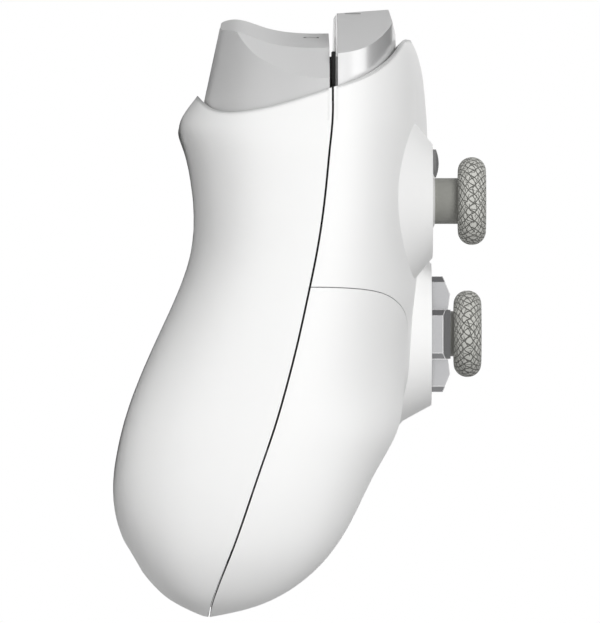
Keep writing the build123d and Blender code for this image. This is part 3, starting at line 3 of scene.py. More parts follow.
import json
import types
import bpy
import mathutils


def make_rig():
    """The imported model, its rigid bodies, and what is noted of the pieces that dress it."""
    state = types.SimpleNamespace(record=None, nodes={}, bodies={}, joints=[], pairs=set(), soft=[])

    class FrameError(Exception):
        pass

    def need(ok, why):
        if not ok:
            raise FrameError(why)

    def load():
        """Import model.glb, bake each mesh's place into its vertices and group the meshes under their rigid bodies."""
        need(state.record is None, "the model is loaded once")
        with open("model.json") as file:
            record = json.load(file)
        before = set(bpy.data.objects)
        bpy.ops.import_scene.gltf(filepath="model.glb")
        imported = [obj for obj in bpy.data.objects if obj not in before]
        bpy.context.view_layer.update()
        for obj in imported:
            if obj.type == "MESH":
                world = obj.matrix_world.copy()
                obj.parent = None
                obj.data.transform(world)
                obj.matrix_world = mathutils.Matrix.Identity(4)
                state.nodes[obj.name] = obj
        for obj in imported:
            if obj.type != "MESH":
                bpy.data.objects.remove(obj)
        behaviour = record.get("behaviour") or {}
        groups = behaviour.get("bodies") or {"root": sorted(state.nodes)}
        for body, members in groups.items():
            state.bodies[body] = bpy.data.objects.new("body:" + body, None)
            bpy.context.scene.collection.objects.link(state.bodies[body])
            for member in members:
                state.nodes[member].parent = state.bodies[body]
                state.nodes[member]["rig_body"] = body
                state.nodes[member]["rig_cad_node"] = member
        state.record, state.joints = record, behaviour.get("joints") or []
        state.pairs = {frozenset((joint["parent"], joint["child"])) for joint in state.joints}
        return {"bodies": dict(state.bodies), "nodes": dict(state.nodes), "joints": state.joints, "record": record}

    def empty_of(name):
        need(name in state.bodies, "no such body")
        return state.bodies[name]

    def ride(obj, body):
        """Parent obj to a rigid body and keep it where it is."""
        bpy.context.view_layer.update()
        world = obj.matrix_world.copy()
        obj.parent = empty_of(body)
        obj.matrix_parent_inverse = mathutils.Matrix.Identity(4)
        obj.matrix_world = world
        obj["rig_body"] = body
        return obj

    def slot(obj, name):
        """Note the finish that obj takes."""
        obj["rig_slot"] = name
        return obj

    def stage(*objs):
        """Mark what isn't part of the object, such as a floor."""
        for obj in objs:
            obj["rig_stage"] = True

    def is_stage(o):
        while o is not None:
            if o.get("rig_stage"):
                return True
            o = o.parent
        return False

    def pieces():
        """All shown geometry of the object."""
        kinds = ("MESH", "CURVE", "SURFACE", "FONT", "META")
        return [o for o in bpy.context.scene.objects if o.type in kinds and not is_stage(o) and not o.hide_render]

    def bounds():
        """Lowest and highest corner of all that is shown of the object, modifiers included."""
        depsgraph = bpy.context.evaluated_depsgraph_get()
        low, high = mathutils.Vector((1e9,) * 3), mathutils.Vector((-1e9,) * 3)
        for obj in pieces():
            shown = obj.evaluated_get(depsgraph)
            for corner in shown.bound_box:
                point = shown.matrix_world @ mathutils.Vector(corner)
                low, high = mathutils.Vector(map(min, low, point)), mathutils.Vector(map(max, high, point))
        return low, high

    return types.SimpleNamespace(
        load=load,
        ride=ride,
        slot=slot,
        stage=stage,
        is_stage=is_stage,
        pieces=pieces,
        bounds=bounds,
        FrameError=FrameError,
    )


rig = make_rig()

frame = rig.load()

import json
import logging
import math
from dataclasses import dataclass, field
from enum import Enum
from typing import Any, Iterable, Protocol

import bmesh
import bpy
import numpy
from mathutils import Matrix, Vector
from mathutils.bvhtree import BVHTree

with open("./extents.json", "w") as size_file:
    json.dump({"cad": [list(corner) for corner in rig.bounds()]}, size_file)

log = logging.getLogger("gamepad")

MM = 0.001
RIGHT = Vector((1, 0, 0))
# Height of the floor and of the camera in metres, so that the camera sees the floor edge on.
FLOOR_LEVEL = -0.0002
# Place of the right stick across the face, and of its pivot below the face, in millimetres.
RIGHT_STICK_X = 19.5
STICK_PIVOT_DEPTH = 10.5
# Grain and broad patches of moulded plastic: sizes and depth in millimetres, and their roughness.
GRAIN_SIZE = 0.22
GRAIN_DEPTH = 0.004
GRAIN_ROUGHNESS = 0.12
PATCH_SIZE = 18.0
PATCH_ROUGHNESS = 0.05
# Samples that soften the edges.
EDGE_SAMPLES = 6

Colour = tuple[float, float, float]
Band = tuple[float, float]


class Side(Enum):
    """The player's left or right hand, with the sign of its places along X."""

    LEFT = -1
    RIGHT = 1

    @property
    def word(self) -> str:
        """Word that the names of this side's pieces start with."""
        return self.name.lower()


def both(*words: str) -> list[str]:
    """Names of the left and the right piece for each word."""
    return [f"{side.word}_{word}" for word in words for side in Side]


def darker(colour: Colour, share: float) -> Colour:
    """A colour that is darker by a share."""
    return tuple(value * (1 - share) for value in colour)


@dataclass(frozen=True)
class FaceFrame:
    """Directions of the gamepad's face, which leans back in the frame.

    Places on the face are in millimetres: x to the player's right, y towards the triggers and
    z out of the face.
    """

    origin: Vector
    up: Vector
    out: Vector

    @classmethod
    def from_joints(cls, joints: Iterable[dict[str, Any]]) -> "FaceFrame":
        """Reads the face's lean from the joints.

        Args:
            joints: The frame's joints.

        Returns:
            The frame of the face.
        """
        by_name = {joint["name"]: joint for joint in joints}
        out = -Vector(by_name["face_button_1_press"]["axis"]).normalized()
        up = out.cross(RIGHT)
        pivot = Vector(by_name["right_stick_tilt_y"]["pos_m"])
        above = pivot + out * STICK_PIVOT_DEPTH * MM
        return cls(origin=above - Vector((RIGHT_STICK_X * MM, 0, 0)), up=up, out=out)

    def point(self, x: float, y: float, z: float) -> Vector:
        """Place in the frame, in metres, of a place on the face in millimetres."""
        return self.origin + (Vector((x, 0, 0)) + self.up * y + self.out * z) * MM

    def matrix(self, place: Vector, right: Vector, normal: Vector) -> Matrix:
        """Placement of a piece that is drawn in its own XY plane.

        Args:
            place: Where its origin goes, in metres.
            right: Direction of its X axis.
            normal: Direction of its Z axis.

        Returns:
            The matrix of that placement.
        """
        z_axis = normal.normalized()
        x_axis = (right - z_axis * right.dot(z_axis)).normalized()
        y_axis = z_axis.cross(x_axis)
        turn = Matrix((x_axis, y_axis, z_axis)).transposed().to_4x4()
        return Matrix.Translation(place) @ turn


face = FaceFrame.from_joints(frame["joints"])


class Wire:
    """An output socket, on which arithmetic adds Math nodes."""

    def __init__(self, graph: "Graph", socket: Any) -> None:
        """Keeps the graph and the output socket."""
        self.graph = graph
        self.socket = socket

    def _math(self, operation: str, first: Any, second: Any) -> "Wire":
        """Adds a Math node on two values."""
        return self.graph.node("ShaderNodeMath", {"operation": operation}, {0: first, 1: second})

    def __add__(self, other: Any) -> "Wire":
        """Sum."""
        return self._math("ADD", self, other)

    __radd__ = __add__

    def __sub__(self, other: Any) -> "Wire":
        """Difference."""
        return self._math("SUBTRACT", self, other)

    def __rsub__(self, other: Any) -> "Wire":
        """Reflected difference."""
        return self._math("SUBTRACT", other, self)

    def __mul__(self, other: Any) -> "Wire":
        """Product."""
        return self._math("MULTIPLY", self, other)

    __rmul__ = __mul__

    def __abs__(self) -> "Wire":
        """Absolute value."""
        return self._math("ABSOLUTE", self, 0.0)

    def __gt__(self, other: Any) -> "Wire":
        """One where this is greater, zero elsewhere."""
        return self._math("GREATER_THAN", self, other)

    def __lt__(self, other: Any) -> "Wire":
        """One where this is less, zero elsewhere."""
        return self._math("LESS_THAN", self, other)

    def least(self, other: Any) -> "Wire":
        """The smaller of two values."""
        return self._math("MINIMUM", self, other)

    def most(self, other: Any) -> "Wire":
        """The larger of two values."""
        return self._math("MAXIMUM", self, other)

    def wrapped(self, period: float) -> "Wire":
        """Distance to the nearest multiple of a period."""
        return self._math("PINGPONG", self, period / 2)

    def power(self, exponent: float) -> "Wire":
        """This value to a power."""
        return self._math("POWER", self, exponent)

    def smooth(self, low: float, high: float) -> "Wire":
        """Rises smoothly from zero at low to one at high."""
        return self.graph.node(
            "ShaderNodeMapRange", {"interpolation_type": "SMOOTHSTEP"},
            {"Value": self, "From Min": low, "From Max": high, "To Min": 0.0, "To Max": 1.0},
        )

    def dot(self, direction: "Vector | Wire") -> "Wire":
        """Dot product of this vector with another one."""
        other = direction if isinstance(direction, Wire) else tuple(direction)
        return self.graph.node(
            "ShaderNodeVectorMath", {"operation": "DOT_PRODUCT"}, {0: self, 1: other}, "Value")


class Graph:
    """Nodes of a material or of the world."""

    def __init__(self, holder: "bpy.types.Material | bpy.types.World", output: str) -> None:
        """Empties the nodes and adds the output.

        Args:
            holder: The material or the world.
            output: Type of its output node.
        """
        holder.use_nodes = True
        self.tree = holder.node_tree
        self.tree.nodes.clear()
        self.output = self.tree.nodes.new(output)

    def node(self, kind: str, settings: dict[str, Any] | None = None,
             values: dict[Any, Any] | None = None, output: Any = 0) -> Wire:
        """Adds a node.

        Args:
            kind: Type of the node.
            settings: Properties of the node, set first, and the stops of its curve.
            values: Values or wires of its inputs, by name or number.
            output: Name or number of the output that is returned.

        Returns:
            The wire of that output.
        """
        made = self.tree.nodes.new(kind)
        for key, value in (settings or {}).items():
            if key == "stops":
                curve = made.mapping.curves[0]
                curve.points[0].location, curve.points[1].location = value[0], value[-1]
                for stop in value[1:-1]:
                    curve.points.new(*stop)
                made.mapping.update()
            else:
                setattr(made, key, value)
        for key, value in (values or {}).items():
            self.feed(made.inputs[key], value)
        return Wire(self, made.outputs[output])

    def feed(self, socket: Any, value: Any) -> None:
        """Links a wire to a socket, or sets its constant."""
        if isinstance(value, Wire):
            self.tree.links.new(value.socket, socket)
        else:
            socket.default_value = value

    def show(self, light: Wire) -> None:
        """Links what the material or the world shows to its output."""
        self.feed(self.output.inputs["Surface"], light)


class Surface(Graph):
    """Nodes of one material, with its shader."""

    def __init__(self, name: str) -> None:
        """Makes a material that shows its shader."""
        self.material = bpy.data.materials.new(name)
        super().__init__(self.material, "ShaderNodeOutputMaterial")
        self.shaded = self.node("ShaderNodeBsdfPrincipled")
        self.show(self.shaded)
        self._place: Wire | None = None

    def set(self, **values: Any) -> None:
        """Sets or links inputs of the shader, named with underscores for spaces."""
        for key, value in values.items():
            self.feed(self.shaded.socket.node.inputs[key.replace("_", " ")], value)

    @property
    def place(self) -> Wire:
        """Place on the piece at rest, in metres."""
        if self._place is None:
            self._place = self.node("ShaderNodeTexCoord", output="Object")
        return self._place

    def along(self, direction: Vector, origin: Vector) -> Wire:
        """Distance along a direction from an origin, in millimetres."""
        return (self.place.dot(direction) - origin.dot(direction)) * (1 / MM)

    def face_x(self) -> Wire:
        """Place to the player's right, in millimetres."""
        return self.along(RIGHT, face.origin)

    def face_y(self) -> Wire:
        """Place towards the triggers, in millimetres."""
        return self.along(face.up, face.origin)

    def face_z(self) -> Wire:
        """Place out of the face, in millimetres."""
        return self.along(face.out, face.origin)

    def noise(self, size: float, detail: float = 2.0, roughness: float = 0.5) -> Wire:
        """Noise whose grains have a size in millimetres."""
        return self.node(
            "ShaderNodeTexNoise", {"noise_dimensions": "3D"},
            {"Vector": self.place, "Scale": 1 / (size * MM), "Detail": detail,
             "Roughness": roughness},
        )

    def patches(self) -> Wire:
        """Broad, soft patches of moulded plastic."""
        return self.noise(PATCH_SIZE, 3.0)

    def satin(self, roughness: float, speckle: Wire, patches: Wire) -> Wire:
        """Roughness of moulded plastic, round a mean.

        Args:
            roughness: That mean.
            speckle: Its fine grain.
            patches: Its broad patches.

        Returns:
            The wire of that roughness.
        """
        grain = (speckle - 0.5) * GRAIN_ROUGHNESS
        return roughness + grain + (patches - 0.5) * PATCH_ROUGHNESS

    def mix(self, factor: Any, first: Any, second: Any) -> Wire:
        """Mix of two colours."""
        first, second = (
            (*value, 1.0) if isinstance(value, tuple) else value for value in (first, second))
        return self.node(
            "ShaderNodeMix", {"data_type": "RGBA"}, {0: factor, 6: first, 7: second}, 2)

    def blend(self, factor: Wire, first: Wire, second: Wire) -> Wire:
        """Mix of two directions."""
        return self.node(
            "ShaderNodeMix", {"data_type": "VECTOR"}, {0: factor, 4: first, 5: second}, 1)

    @property
    def normal(self) -> Wire:
        """Smooth normal of the surface."""
        return self.node("ShaderNodeNewGeometry", output="Normal")

    @property
    def facet(self) -> Wire:
        """Normal of the flat facet."""
        return self.node("ShaderNodeNewGeometry", output="True Normal")

    def rounded(self, radius: float) -> Wire:
        """Normal as if the edges were rounded, with a radius in millimetres."""
        return self.node("ShaderNodeBevel", {"samples": EDGE_SAMPLES}, {"Radius": radius * MM})

    def edges(self, radius: float, low: float, high: float) -> Wire:
        """One along the sharp edges, zero from a radius in millimetres away from them.

        Args:
            radius: How far the edge's band reaches.
            low: Turn of the rounded normal at which the band begins.
            high: Turn at which it is full.

        Returns:
            The wire of that share.
        """
        return (1 - self.rounded(radius).dot(self.normal)).smooth(low, high)

    def bump(self, height: Wire, depth: float, after: Wire | None = None) -> Wire:
        """Normal of a height in shares of a depth in millimetres.

        Args:
            height: The height.
            depth: That depth.
            after: The normal that it is laid on, or None for the surface's own.

        Returns:
            The wire of the normal.
        """
        values = {"Height": height, "Distance": depth * MM, "Strength": 1.0}
        if after is not None:
            values["Normal"] = after
        return self.node("ShaderNodeBump", {}, values)


class Finish(Protocol):
    """What a piece is dressed in."""

    def make(self) -> bpy.types.Material:
        """Builds the material."""


@dataclass(frozen=True)
class MouldedPlastic:
    """Plastic from a spark-eroded mould, with a fine grain and softened edges."""

    name: str
    colour: Colour
    shade: float = 0.03
    roughness: float = 0.42
    depth: float = GRAIN_DEPTH
    gloss: float = 0.5
    edge: float = 0.0

    def make(self) -> bpy.types.Material:
        """Builds the material."""
        surface = Surface(self.name)
        patches = surface.patches()
        speckle = surface.noise(GRAIN_SIZE)
        soft = surface.rounded(self.edge) if self.edge else None
        surface.set(
            Base_Color=surface.mix(patches, darker(self.colour, self.shade), self.colour),
            Roughness=surface.satin(self.roughness, speckle, patches),
            Specular_IOR_Level=self.gloss,
            Normal=surface.bump(speckle, self.depth, soft),
        )
        return surface.material


@dataclass(frozen=True)
class ShellPlastic:
    """White moulded plastic, with painted shadow along the parting line and painted shade on the lips
    round the shoulder openings.

    The parting line is a curve in the side view: places towards the triggers and out of the face,
    in millimetres. The gap's shadow is painted as a thin dark band on both sides of that line. The
    lips' shade is painted grey on the sharp edges above a place, away from the parting line.
    """

    name: str
    colour: Colour
    seam: tuple[tuple[float, float], ...]
    roughness: float = 0.42
    shade: float = 0.02
    # Painted shadow of the gap along the parting line: its half width, its band and its colour.
    seam_half: float = 0.18
    seam_band: Band = (0.85, 1.15)
    seam_colour: Colour = (0.012, 0.012, 0.012)
    # Painted shade on the lips: its reach, its turn, its band away from the parting line, its colour and the height
    # where it starts.
    lip: float = 1.3
    lip_turn: Band = (0.008, 0.05)
    lip_band: Band = (0.35, 0.7)
    lip_colour: Colour = (0.42, 0.42, 0.42)
    lip_from: float = 36.5
    lip_full: float = 37.0
    edge: float = 0.25

    def _off_parting(self, surface: Surface) -> Wire:
        """Distance from the parting line in the side view, in millimetres."""
        (low_y, low_z), (high_y, high_z) = self.seam[0], self.seam[-1]
        tall, deep = high_y - low_y, high_z - low_z
        share = ((surface.face_y() - low_y) * (1 / tall)).most(0.0).least(1.0)
        stops = [((y - low_y) / tall, (z - low_z) / deep) for y, z in self.seam]
        curve = surface.node("ShaderNodeFloatCurve", {"stops": stops}, {"Value": share})
        return abs(surface.face_z() - (curve * deep + low_z))

    def make(self) -> bpy.types.Material:
        """Builds the material."""
        surface = Surface(self.name)
        patches = surface.patches()
        speckle = surface.noise(GRAIN_SIZE)
        white = surface.mix(patches, darker(self.colour, self.shade), self.colour)
        away = self._off_parting(surface)
        # Painted shadow: a thin dark band along the parting line stands in for the shade inside the gap.
        seam = 1 - away.smooth(*(self.seam_half * share for share in self.seam_band))
        above = surface.face_y().smooth(self.lip_from, self.lip_full)
        clear = away.smooth(*(self.lip * share for share in self.lip_band))
        # Painted shade: the sharp lip edges above the openings' level are greyed as a rounded edge's shade.
        lip = surface.edges(self.lip, *self.lip_turn) * above * clear
        surface.set(
            Base_Color=surface.mix(
                seam, surface.mix(lip, white, self.lip_colour), self.seam_colour),
            Roughness=surface.satin(self.roughness, speckle, patches),
            Normal=surface.bump(speckle, GRAIN_DEPTH, surface.rounded(self.edge)),
        )
        return surface.material


@dataclass(frozen=True)
class BumperGloss:
    """Clear-coated grey plastic, satin on its top and glossy on its wall.

    Seen from the top, the wall follows a superellipse. Its middle and its half axes are in
    millimetres on the face.
    """

    name: str = "bumper_gloss"
    top_colour: Colour = (0.60, 0.60, 0.60)
    wall_colour: Colour = (0.80, 0.80, 0.80)
    wall_metal: float = 0.5
    top_roughness: float = 0.42
    wall_roughness: float = 0.27
    grain_roughness: float = 0.05
    coat: float = 0.6
    coat_roughness: float = 0.05
    top_band: Band = (0.55, 0.62)
    wall_band: Band = (0.86, 0.90)
    edge: float = 0.25
    centre_x: float = 38.0
    centre_z: float = -17.4
    half_x: float = 24.8
    half_z: float = 11.2
    fullness: float = 2.2

    def _wall_normal(self, surface: Surface) -> Wire:
        """Normal of the smooth curve that the wall's facets follow."""
        x = surface.face_x()
        hand = (x > 0.0) * 2 - 1
        shares = (
            (abs(x) - self.centre_x).most(0.0) * (1 / self.half_x),
            (surface.face_z() - self.centre_z).most(0.0) * (1 / self.half_z),
        )
        slope_x, slope_z = (
            share.power(self.fullness - 1) * (1 / half)
            for share, half in zip(shares, (self.half_x, self.half_z))
        )
        sideways, outward = (
            surface.node(
                "ShaderNodeVectorMath", {"operation": "SCALE"},
                {0: tuple(direction), "Scale": slope})
            for direction, slope in ((RIGHT, slope_x * hand), (face.out, slope_z))
        )
        total = surface.node(
            "ShaderNodeVectorMath", {"operation": "ADD"}, {0: sideways, 1: outward})
        return surface.node("ShaderNodeVectorMath", {"operation": "NORMALIZE"}, {0: total})

    def make(self) -> bpy.types.Material:
        """Builds the material."""
        surface = Surface(self.name)
        top = surface.facet.dot(face.up).smooth(*self.top_band)
        smooth_wall = self._wall_normal(surface)
        facing = smooth_wall.dot(surface.facet).smooth(*self.wall_band)
        normal = surface.blend(facing, surface.rounded(self.edge), smooth_wall)
        speckle = surface.noise(GRAIN_SIZE)
        rise = self.top_roughness - self.wall_roughness
        surface.set(
            Base_Color=surface.mix(top, self.wall_colour, self.top_colour),
            Roughness=top * rise + self.wall_roughness + speckle * self.grain_roughness,
            Metallic=(1 - top) * self.wall_metal,
            Coat_Weight=(1 - top) * self.coat,
            Coat_Roughness=self.coat_roughness,
            Normal=surface.bump(speckle * top, GRAIN_DEPTH, normal),
        )
        return surface.material


@dataclass(frozen=True)
class Lines:
    """A family of parallel lines that climb round a stick's cap.

    It has a whole number of lines round the cap, so that it closes on itself.
    """

    count: int
    climb: float
    offset: float

    def off(self, turn: Wire, high: Wire, radius: float) -> Wire:
        """Distance from the lines, in millimetres.

        Args:
            turn: Turn round the cap, in radians.
            high: Height on the cap, in millimetres.
            radius: The cap's radius, in millimetres.

        Returns:
            The wire of that distance.
        """
        around = self.count / (2 * math.pi)
        pitch = 1 / math.hypot(around / radius, self.climb)
        return (turn * around + high * self.climb + self.offset).wrapped(1.0) * pitch


@dataclass(frozen=True)
class LatticeRubber:
    """Warm grey rubber with an engraved lattice of long diagonals and small triangles.

    Sizes are in millimetres. The lines wander a little, and cells of noise pick where the steep
    and where the short lines stand. The engraved lines are painted dark as the shade in them.
    """

    name: str
    centre: Vector
    radius: float = 7.3
    flank: float = 0.6
    crown: float = 0.9
    long_lines: tuple[Lines, Lines] = (Lines(30, 0.66, 0.15), Lines(30, -0.66, 0.4))
    steep_lines: tuple[Lines, Lines] = (Lines(15, 0.95, 0.7), Lines(17, -0.90, 0.2))
    short_lines: tuple[Lines, Lines] = (Lines(42, 0.25, 0.3), Lines(9, 1.2, 0.6))
    line: float = 0.085
    line_band: Band = (0.45, 1.3)
    thinner: float = 0.3
    wander: float = 0.14
    wander_size: float = 4.5
    wander_turn: float = 0.2
    cell: float = 1.4
    steep_above: float = 0.50
    short_below: float = 0.46
    grain: float = 0.35
    grain_relief: float = 0.35
    relief: float = 0.09
    land: Colour = (0.58, 0.58, 0.545)
    land_share: float = 0.62
    grain_share: float = 0.7
    # Painted shade in the engraved grooves.
    groove: Colour = (0.12, 0.12, 0.11)
    roughness: float = 0.62
    groove_roughness: float = 0.2
    gloss: float = 0.35

    def _lattice(self, surface: Surface) -> Wire:
        """Distance from the nearest line, in millimetres."""
        x = surface.along(RIGHT, self.centre)
        y = surface.along(face.up, self.centre)
        z = surface.along(face.out, self.centre)
        radius = surface.node("ShaderNodeMath", {"operation": "SQRT"}, {0: x * x + y * y})
        turn = surface.node("ShaderNodeMath", {"operation": "ARCTAN2"}, {0: y, 1: x * -1.0})
        wander = (surface.noise(self.wander_size, 1.0) - 0.5) * self.wander
        around = turn + wander * self.wander_turn
        half = z.smooth(-self.flank, self.flank) * 2 - 1
        high = z + (self.radius - radius) * half * self.crown + wander
        longs, steeps, shorts = (
            first.off(around, high, self.radius).least(second.off(around, high, self.radius))
            for first, second in (self.long_lines, self.steep_lines, self.short_lines)
        )
        cells = surface.noise(self.cell, 0.0)
        thin = self.line * self.thinner
        nearest = longs.least(steeps + thin + (cells < self.steep_above))
        return nearest.least(shorts + thin + (cells > self.short_below))

    def make(self) -> bpy.types.Material:
        """Builds the material."""
        surface = Surface(self.name)
        nearest = self._lattice(surface)
        land = nearest.smooth(*(self.line * share for share in self.line_band))
        grain = surface.noise(self.grain, 3.0, 0.6)
        surface.set(
            # Painted shade: the grooves are darkened, and the land keeps its random grain.
            Base_Color=surface.mix(
                land * (self.land_share + grain * self.grain_share), self.groove, self.land),
            Roughness=self.roughness + (1 - land) * self.groove_roughness,
            Specular_IOR_Level=self.gloss,
            Normal=surface.bump(land + grain * self.grain_relief, self.relief),
        )
        return surface.material


@dataclass(frozen=True)
class PadMetal:
    """Vapour-metallised cross pad, finely brushed, with satin chamfers, painted highlights along its
    bevels and painted dark reflections on its corner facets.

    Its strokes are counted per metre along X, Y and Z.
    """

    name: str = "pad_metal"
    colour: Colour = (0.55, 0.55, 0.56)
    # Colour of the painted dark reflection on the corner facets.
    corner: Colour = (0.22, 0.22, 0.225)
    # Painted highlight along the bevels: its colour, its reach, its turn and its strength.
    bright: Colour = (0.95, 0.95, 0.95)
    bevel: float = 0.3
    bevel_turn: Band = (0.01, 0.06)
    bevel_share: float = 0.9
    slant: Band = (0.25, 0.35)
    strokes: tuple[float, float, float] = (900.0, 9000.0, 9000.0)
    stroke_depth: float = 0.002
    stroke_roughness: float = 0.14
    roughness: float = 0.24
    chamfer_roughness: float = 0.26
    edge: float = 0.2

    def make(self) -> bpy.types.Material:
        """Builds the material."""
        surface = Surface(self.name)
        stretched = surface.node(
            "ShaderNodeVectorMath", {"operation": "MULTIPLY"}, {0: surface.place, 1: self.strokes})
        brushed = surface.node(
            "ShaderNodeTexNoise", {"noise_dimensions": "3D"},
            {"Vector": stretched, "Scale": 1.0, "Detail": 2.0},
        )
        facet = surface.facet
        side = abs(facet.dot(RIGHT)).smooth(*self.slant)
        corners = side * abs(facet.dot(face.up)).smooth(*self.slant)
        chamfer = side * facet.dot(face.out).smooth(*self.slant)
        # Painted dark reflection: facets that face sideways and towards the triggers are darkened.
        plain = surface.mix(corners, self.colour, self.corner)
        # Painted highlight: a bright band along the sharp edges.
        bevel = surface.edges(self.bevel, *self.bevel_turn) * self.bevel_share
        sheen = (brushed - 0.5) * self.stroke_roughness
        surface.set(
            Base_Color=surface.mix(bevel, plain, self.bright),
            Metallic=1.0,
            Roughness=self.roughness + sheen + chamfer * self.chamfer_roughness,
            Normal=surface.bump(brushed, self.stroke_depth, surface.rounded(self.edge)),
        )
        return surface.material


@dataclass(frozen=True)
class Metal:
    """Drawn or pressed steel."""

    name: str
    colour: Colour = (0.55, 0.55, 0.56)
    roughness: float = 0.3
    grain: float = 0.5
    grain_roughness: float = 0.2
    depth: float = 0.003

    def make(self) -> bpy.types.Material:
        """Builds the material."""
        surface = Surface(self.name)
        grain = surface.noise(self.grain, 4.0, 0.6)
        surface.set(
            Base_Color=(*self.colour, 1.0),
            Metallic=1.0,
            Roughness=self.roughness + (grain - 0.5) * self.grain_roughness,
            Normal=surface.bump(grain, self.depth),
        )
        return surface.material


@dataclass(frozen=True)
class CircuitBoard:
    """Green or black solder mask over copper tracks, which run one way or the other in patches."""

    name: str
    mask: Colour
    track: Colour
    pitch: float = 1.6
    track_band: Band = (0.22, 0.30)
    patch: float = 6.0
    roughness: float = 0.35
    relief: float = 0.03

    def make(self) -> bpy.types.Material:
        """Builds the material."""
        surface = Surface(self.name)
        x, y = surface.face_x(), surface.face_y()
        turned = surface.noise(self.patch, 0.0) > 0.5
        runs = turned * x.wrapped(self.pitch) + (1 - turned) * y.wrapped(self.pitch)
        tracks = 1 - runs.smooth(*self.track_band)
        surface.set(
            Base_Color=surface.mix(tracks, self.mask, self.track),
            Roughness=self.roughness,
            Normal=surface.bump(tracks, self.relief),
        )
        return surface.material


@dataclass
class Dresser:
    """Gives the CAD nodes their finishes."""

    nodes: dict[str, bpy.types.Object]
    dressed: set[str] = field(default_factory=set)

    def dress(self, finish: Finish, *names: str) -> None:
        """Puts one finish on nodes.

        Args:
            finish: The finish.
            names: The nodes.
        """
        material = finish.make()
        for name in names:
            mesh = self.nodes[name].data
            mesh.materials.clear()
            mesh.materials.append(material)
            self.dressed.add(name)
            log.info("dressed %s in %s", name, material.name)

    def leftover(self) -> list[str]:
        """Names of nodes that have no finish yet."""
        return sorted(set(self.nodes) - self.dressed)


def add_piece(name: str, mesh: bpy.types.Mesh, finish: bpy.types.Material, body: str,
              slot: str) -> bpy.types.Object:
    """Adds a mesh to the scene as a piece of the object.

    Args:
        name: Name of the piece.
        mesh: Its mesh, in the frame, in metres.
        finish: Its material.
        body: The CAD body that it rides on.
        slot: The record's material slot.

    Returns:
        The piece.
    """
    piece = bpy.data.objects.new(name, mesh)
    bpy.context.scene.collection.objects.link(piece)
    mesh.materials.clear()
    mesh.materials.append(finish)
    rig.ride(piece, body)
    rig.slot(piece, slot)
    log.info("made %s on %s", name, body)
    return piece


@dataclass
class Shells:
    """The front and the rear shell, the two grip covers and the screws.

    The parting line is read from the frame in slices: the lowest place of each slice lies on the
    gap's front side, and one that rises too steeply from the last is left out. Sizes are in
    millimetres.
    """

    dresser: Dresser
    white: Colour = (0.90, 0.90, 0.895)
    cover_roughness: float = 0.45
    cover_edge: float = 0.2
    gap: float = 0.26
    slice_height: float = 3.0
    steepest: float = 0.5

    def parting(self) -> tuple[tuple[float, float], ...]:
        """Middle of the gap behind the front shell and the grip covers, in the side view.

        Returns:
            Places towards the triggers and out of the face, in millimetres, from the grips up.
        """
        lowest: dict[int, tuple[float, float]] = {}
        for node in ("front_shell", "left_grip_cover", "right_grip_cover"):
            vertices = self.dresser.nodes[node].data.vertices
            flat = numpy.empty(len(vertices) * 3)
            vertices.foreach_get("co", flat)
            places = (flat.reshape(-1, 3) - numpy.array(face.origin)) / MM
            for y, z in zip(places @ numpy.array(face.up), places @ numpy.array(face.out)):
                row = round(float(y) / self.slice_height)
                if row not in lowest or z < lowest[row][1]:
                    lowest[row] = (float(y), float(z))
        line: list[tuple[float, float]] = []
        for y, z in sorted(lowest.values()):
            middle = z - self.gap / 2
            if not line or middle - line[-1][1] <= self.steepest * (y - line[-1][0]):
                line.append((y, middle))
        log.info("parting line through %d places", len(line))
        return tuple(line)

    def dress(self) -> None:
        """Dresses the shells, the grip covers and the screws."""
        seam = self.parting()
        shell = ShellPlastic("shell_white", self.white, seam)
        cover = ShellPlastic(
            "cover_white", self.white, seam, self.cover_roughness, edge=self.cover_edge)
        self.dresser.dress(shell, "front_shell", "rear_shell")
        self.dresser.dress(cover, "left_grip_cover", "right_grip_cover")
        self.dresser.dress(Metal("screw_steel"), "shell_screws")


@dataclass
class ThumbSticks:
    """Both thumb sticks with their rubber caps, at their places on the face."""

    dresser: Dresser
    places: tuple[tuple[Side, float, float], ...] = (
        (Side.LEFT, -38.5, 23.0), (Side.RIGHT, RIGHT_STICK_X, 0.0))
    cap_middle: float = 6.8

    def dress(self) -> None:
        """Dresses every piece of both sticks."""
        for side, x, y in self.places:
            centre = face.point(x, y, self.cap_middle)
            self.dresser.dress(
                LatticeRubber(f"{side.word}_cap_rubber", centre), f"{side.word}_stick_grip")
        for finish, pieces in (
            (MouldedPlastic("neck_grey", (0.26, 0.26, 0.24), roughness=0.5), ("neck",)),
            (MouldedPlastic("dome_white", (0.80, 0.80, 0.79), roughness=0.35), ("dome",)),
            (MouldedPlastic("gimbal_black", (0.03, 0.03, 0.03)), ("hub", "yoke", "bail")),
            (MouldedPlastic("sensor_blue", (0.05, 0.12, 0.30)), ("sensors",)),
            (Metal("stick_steel"), ("lever", "housing")),
        ):
            self.dresser.dress(finish, *both(*(f"stick_{piece}" for piece in pieces)))


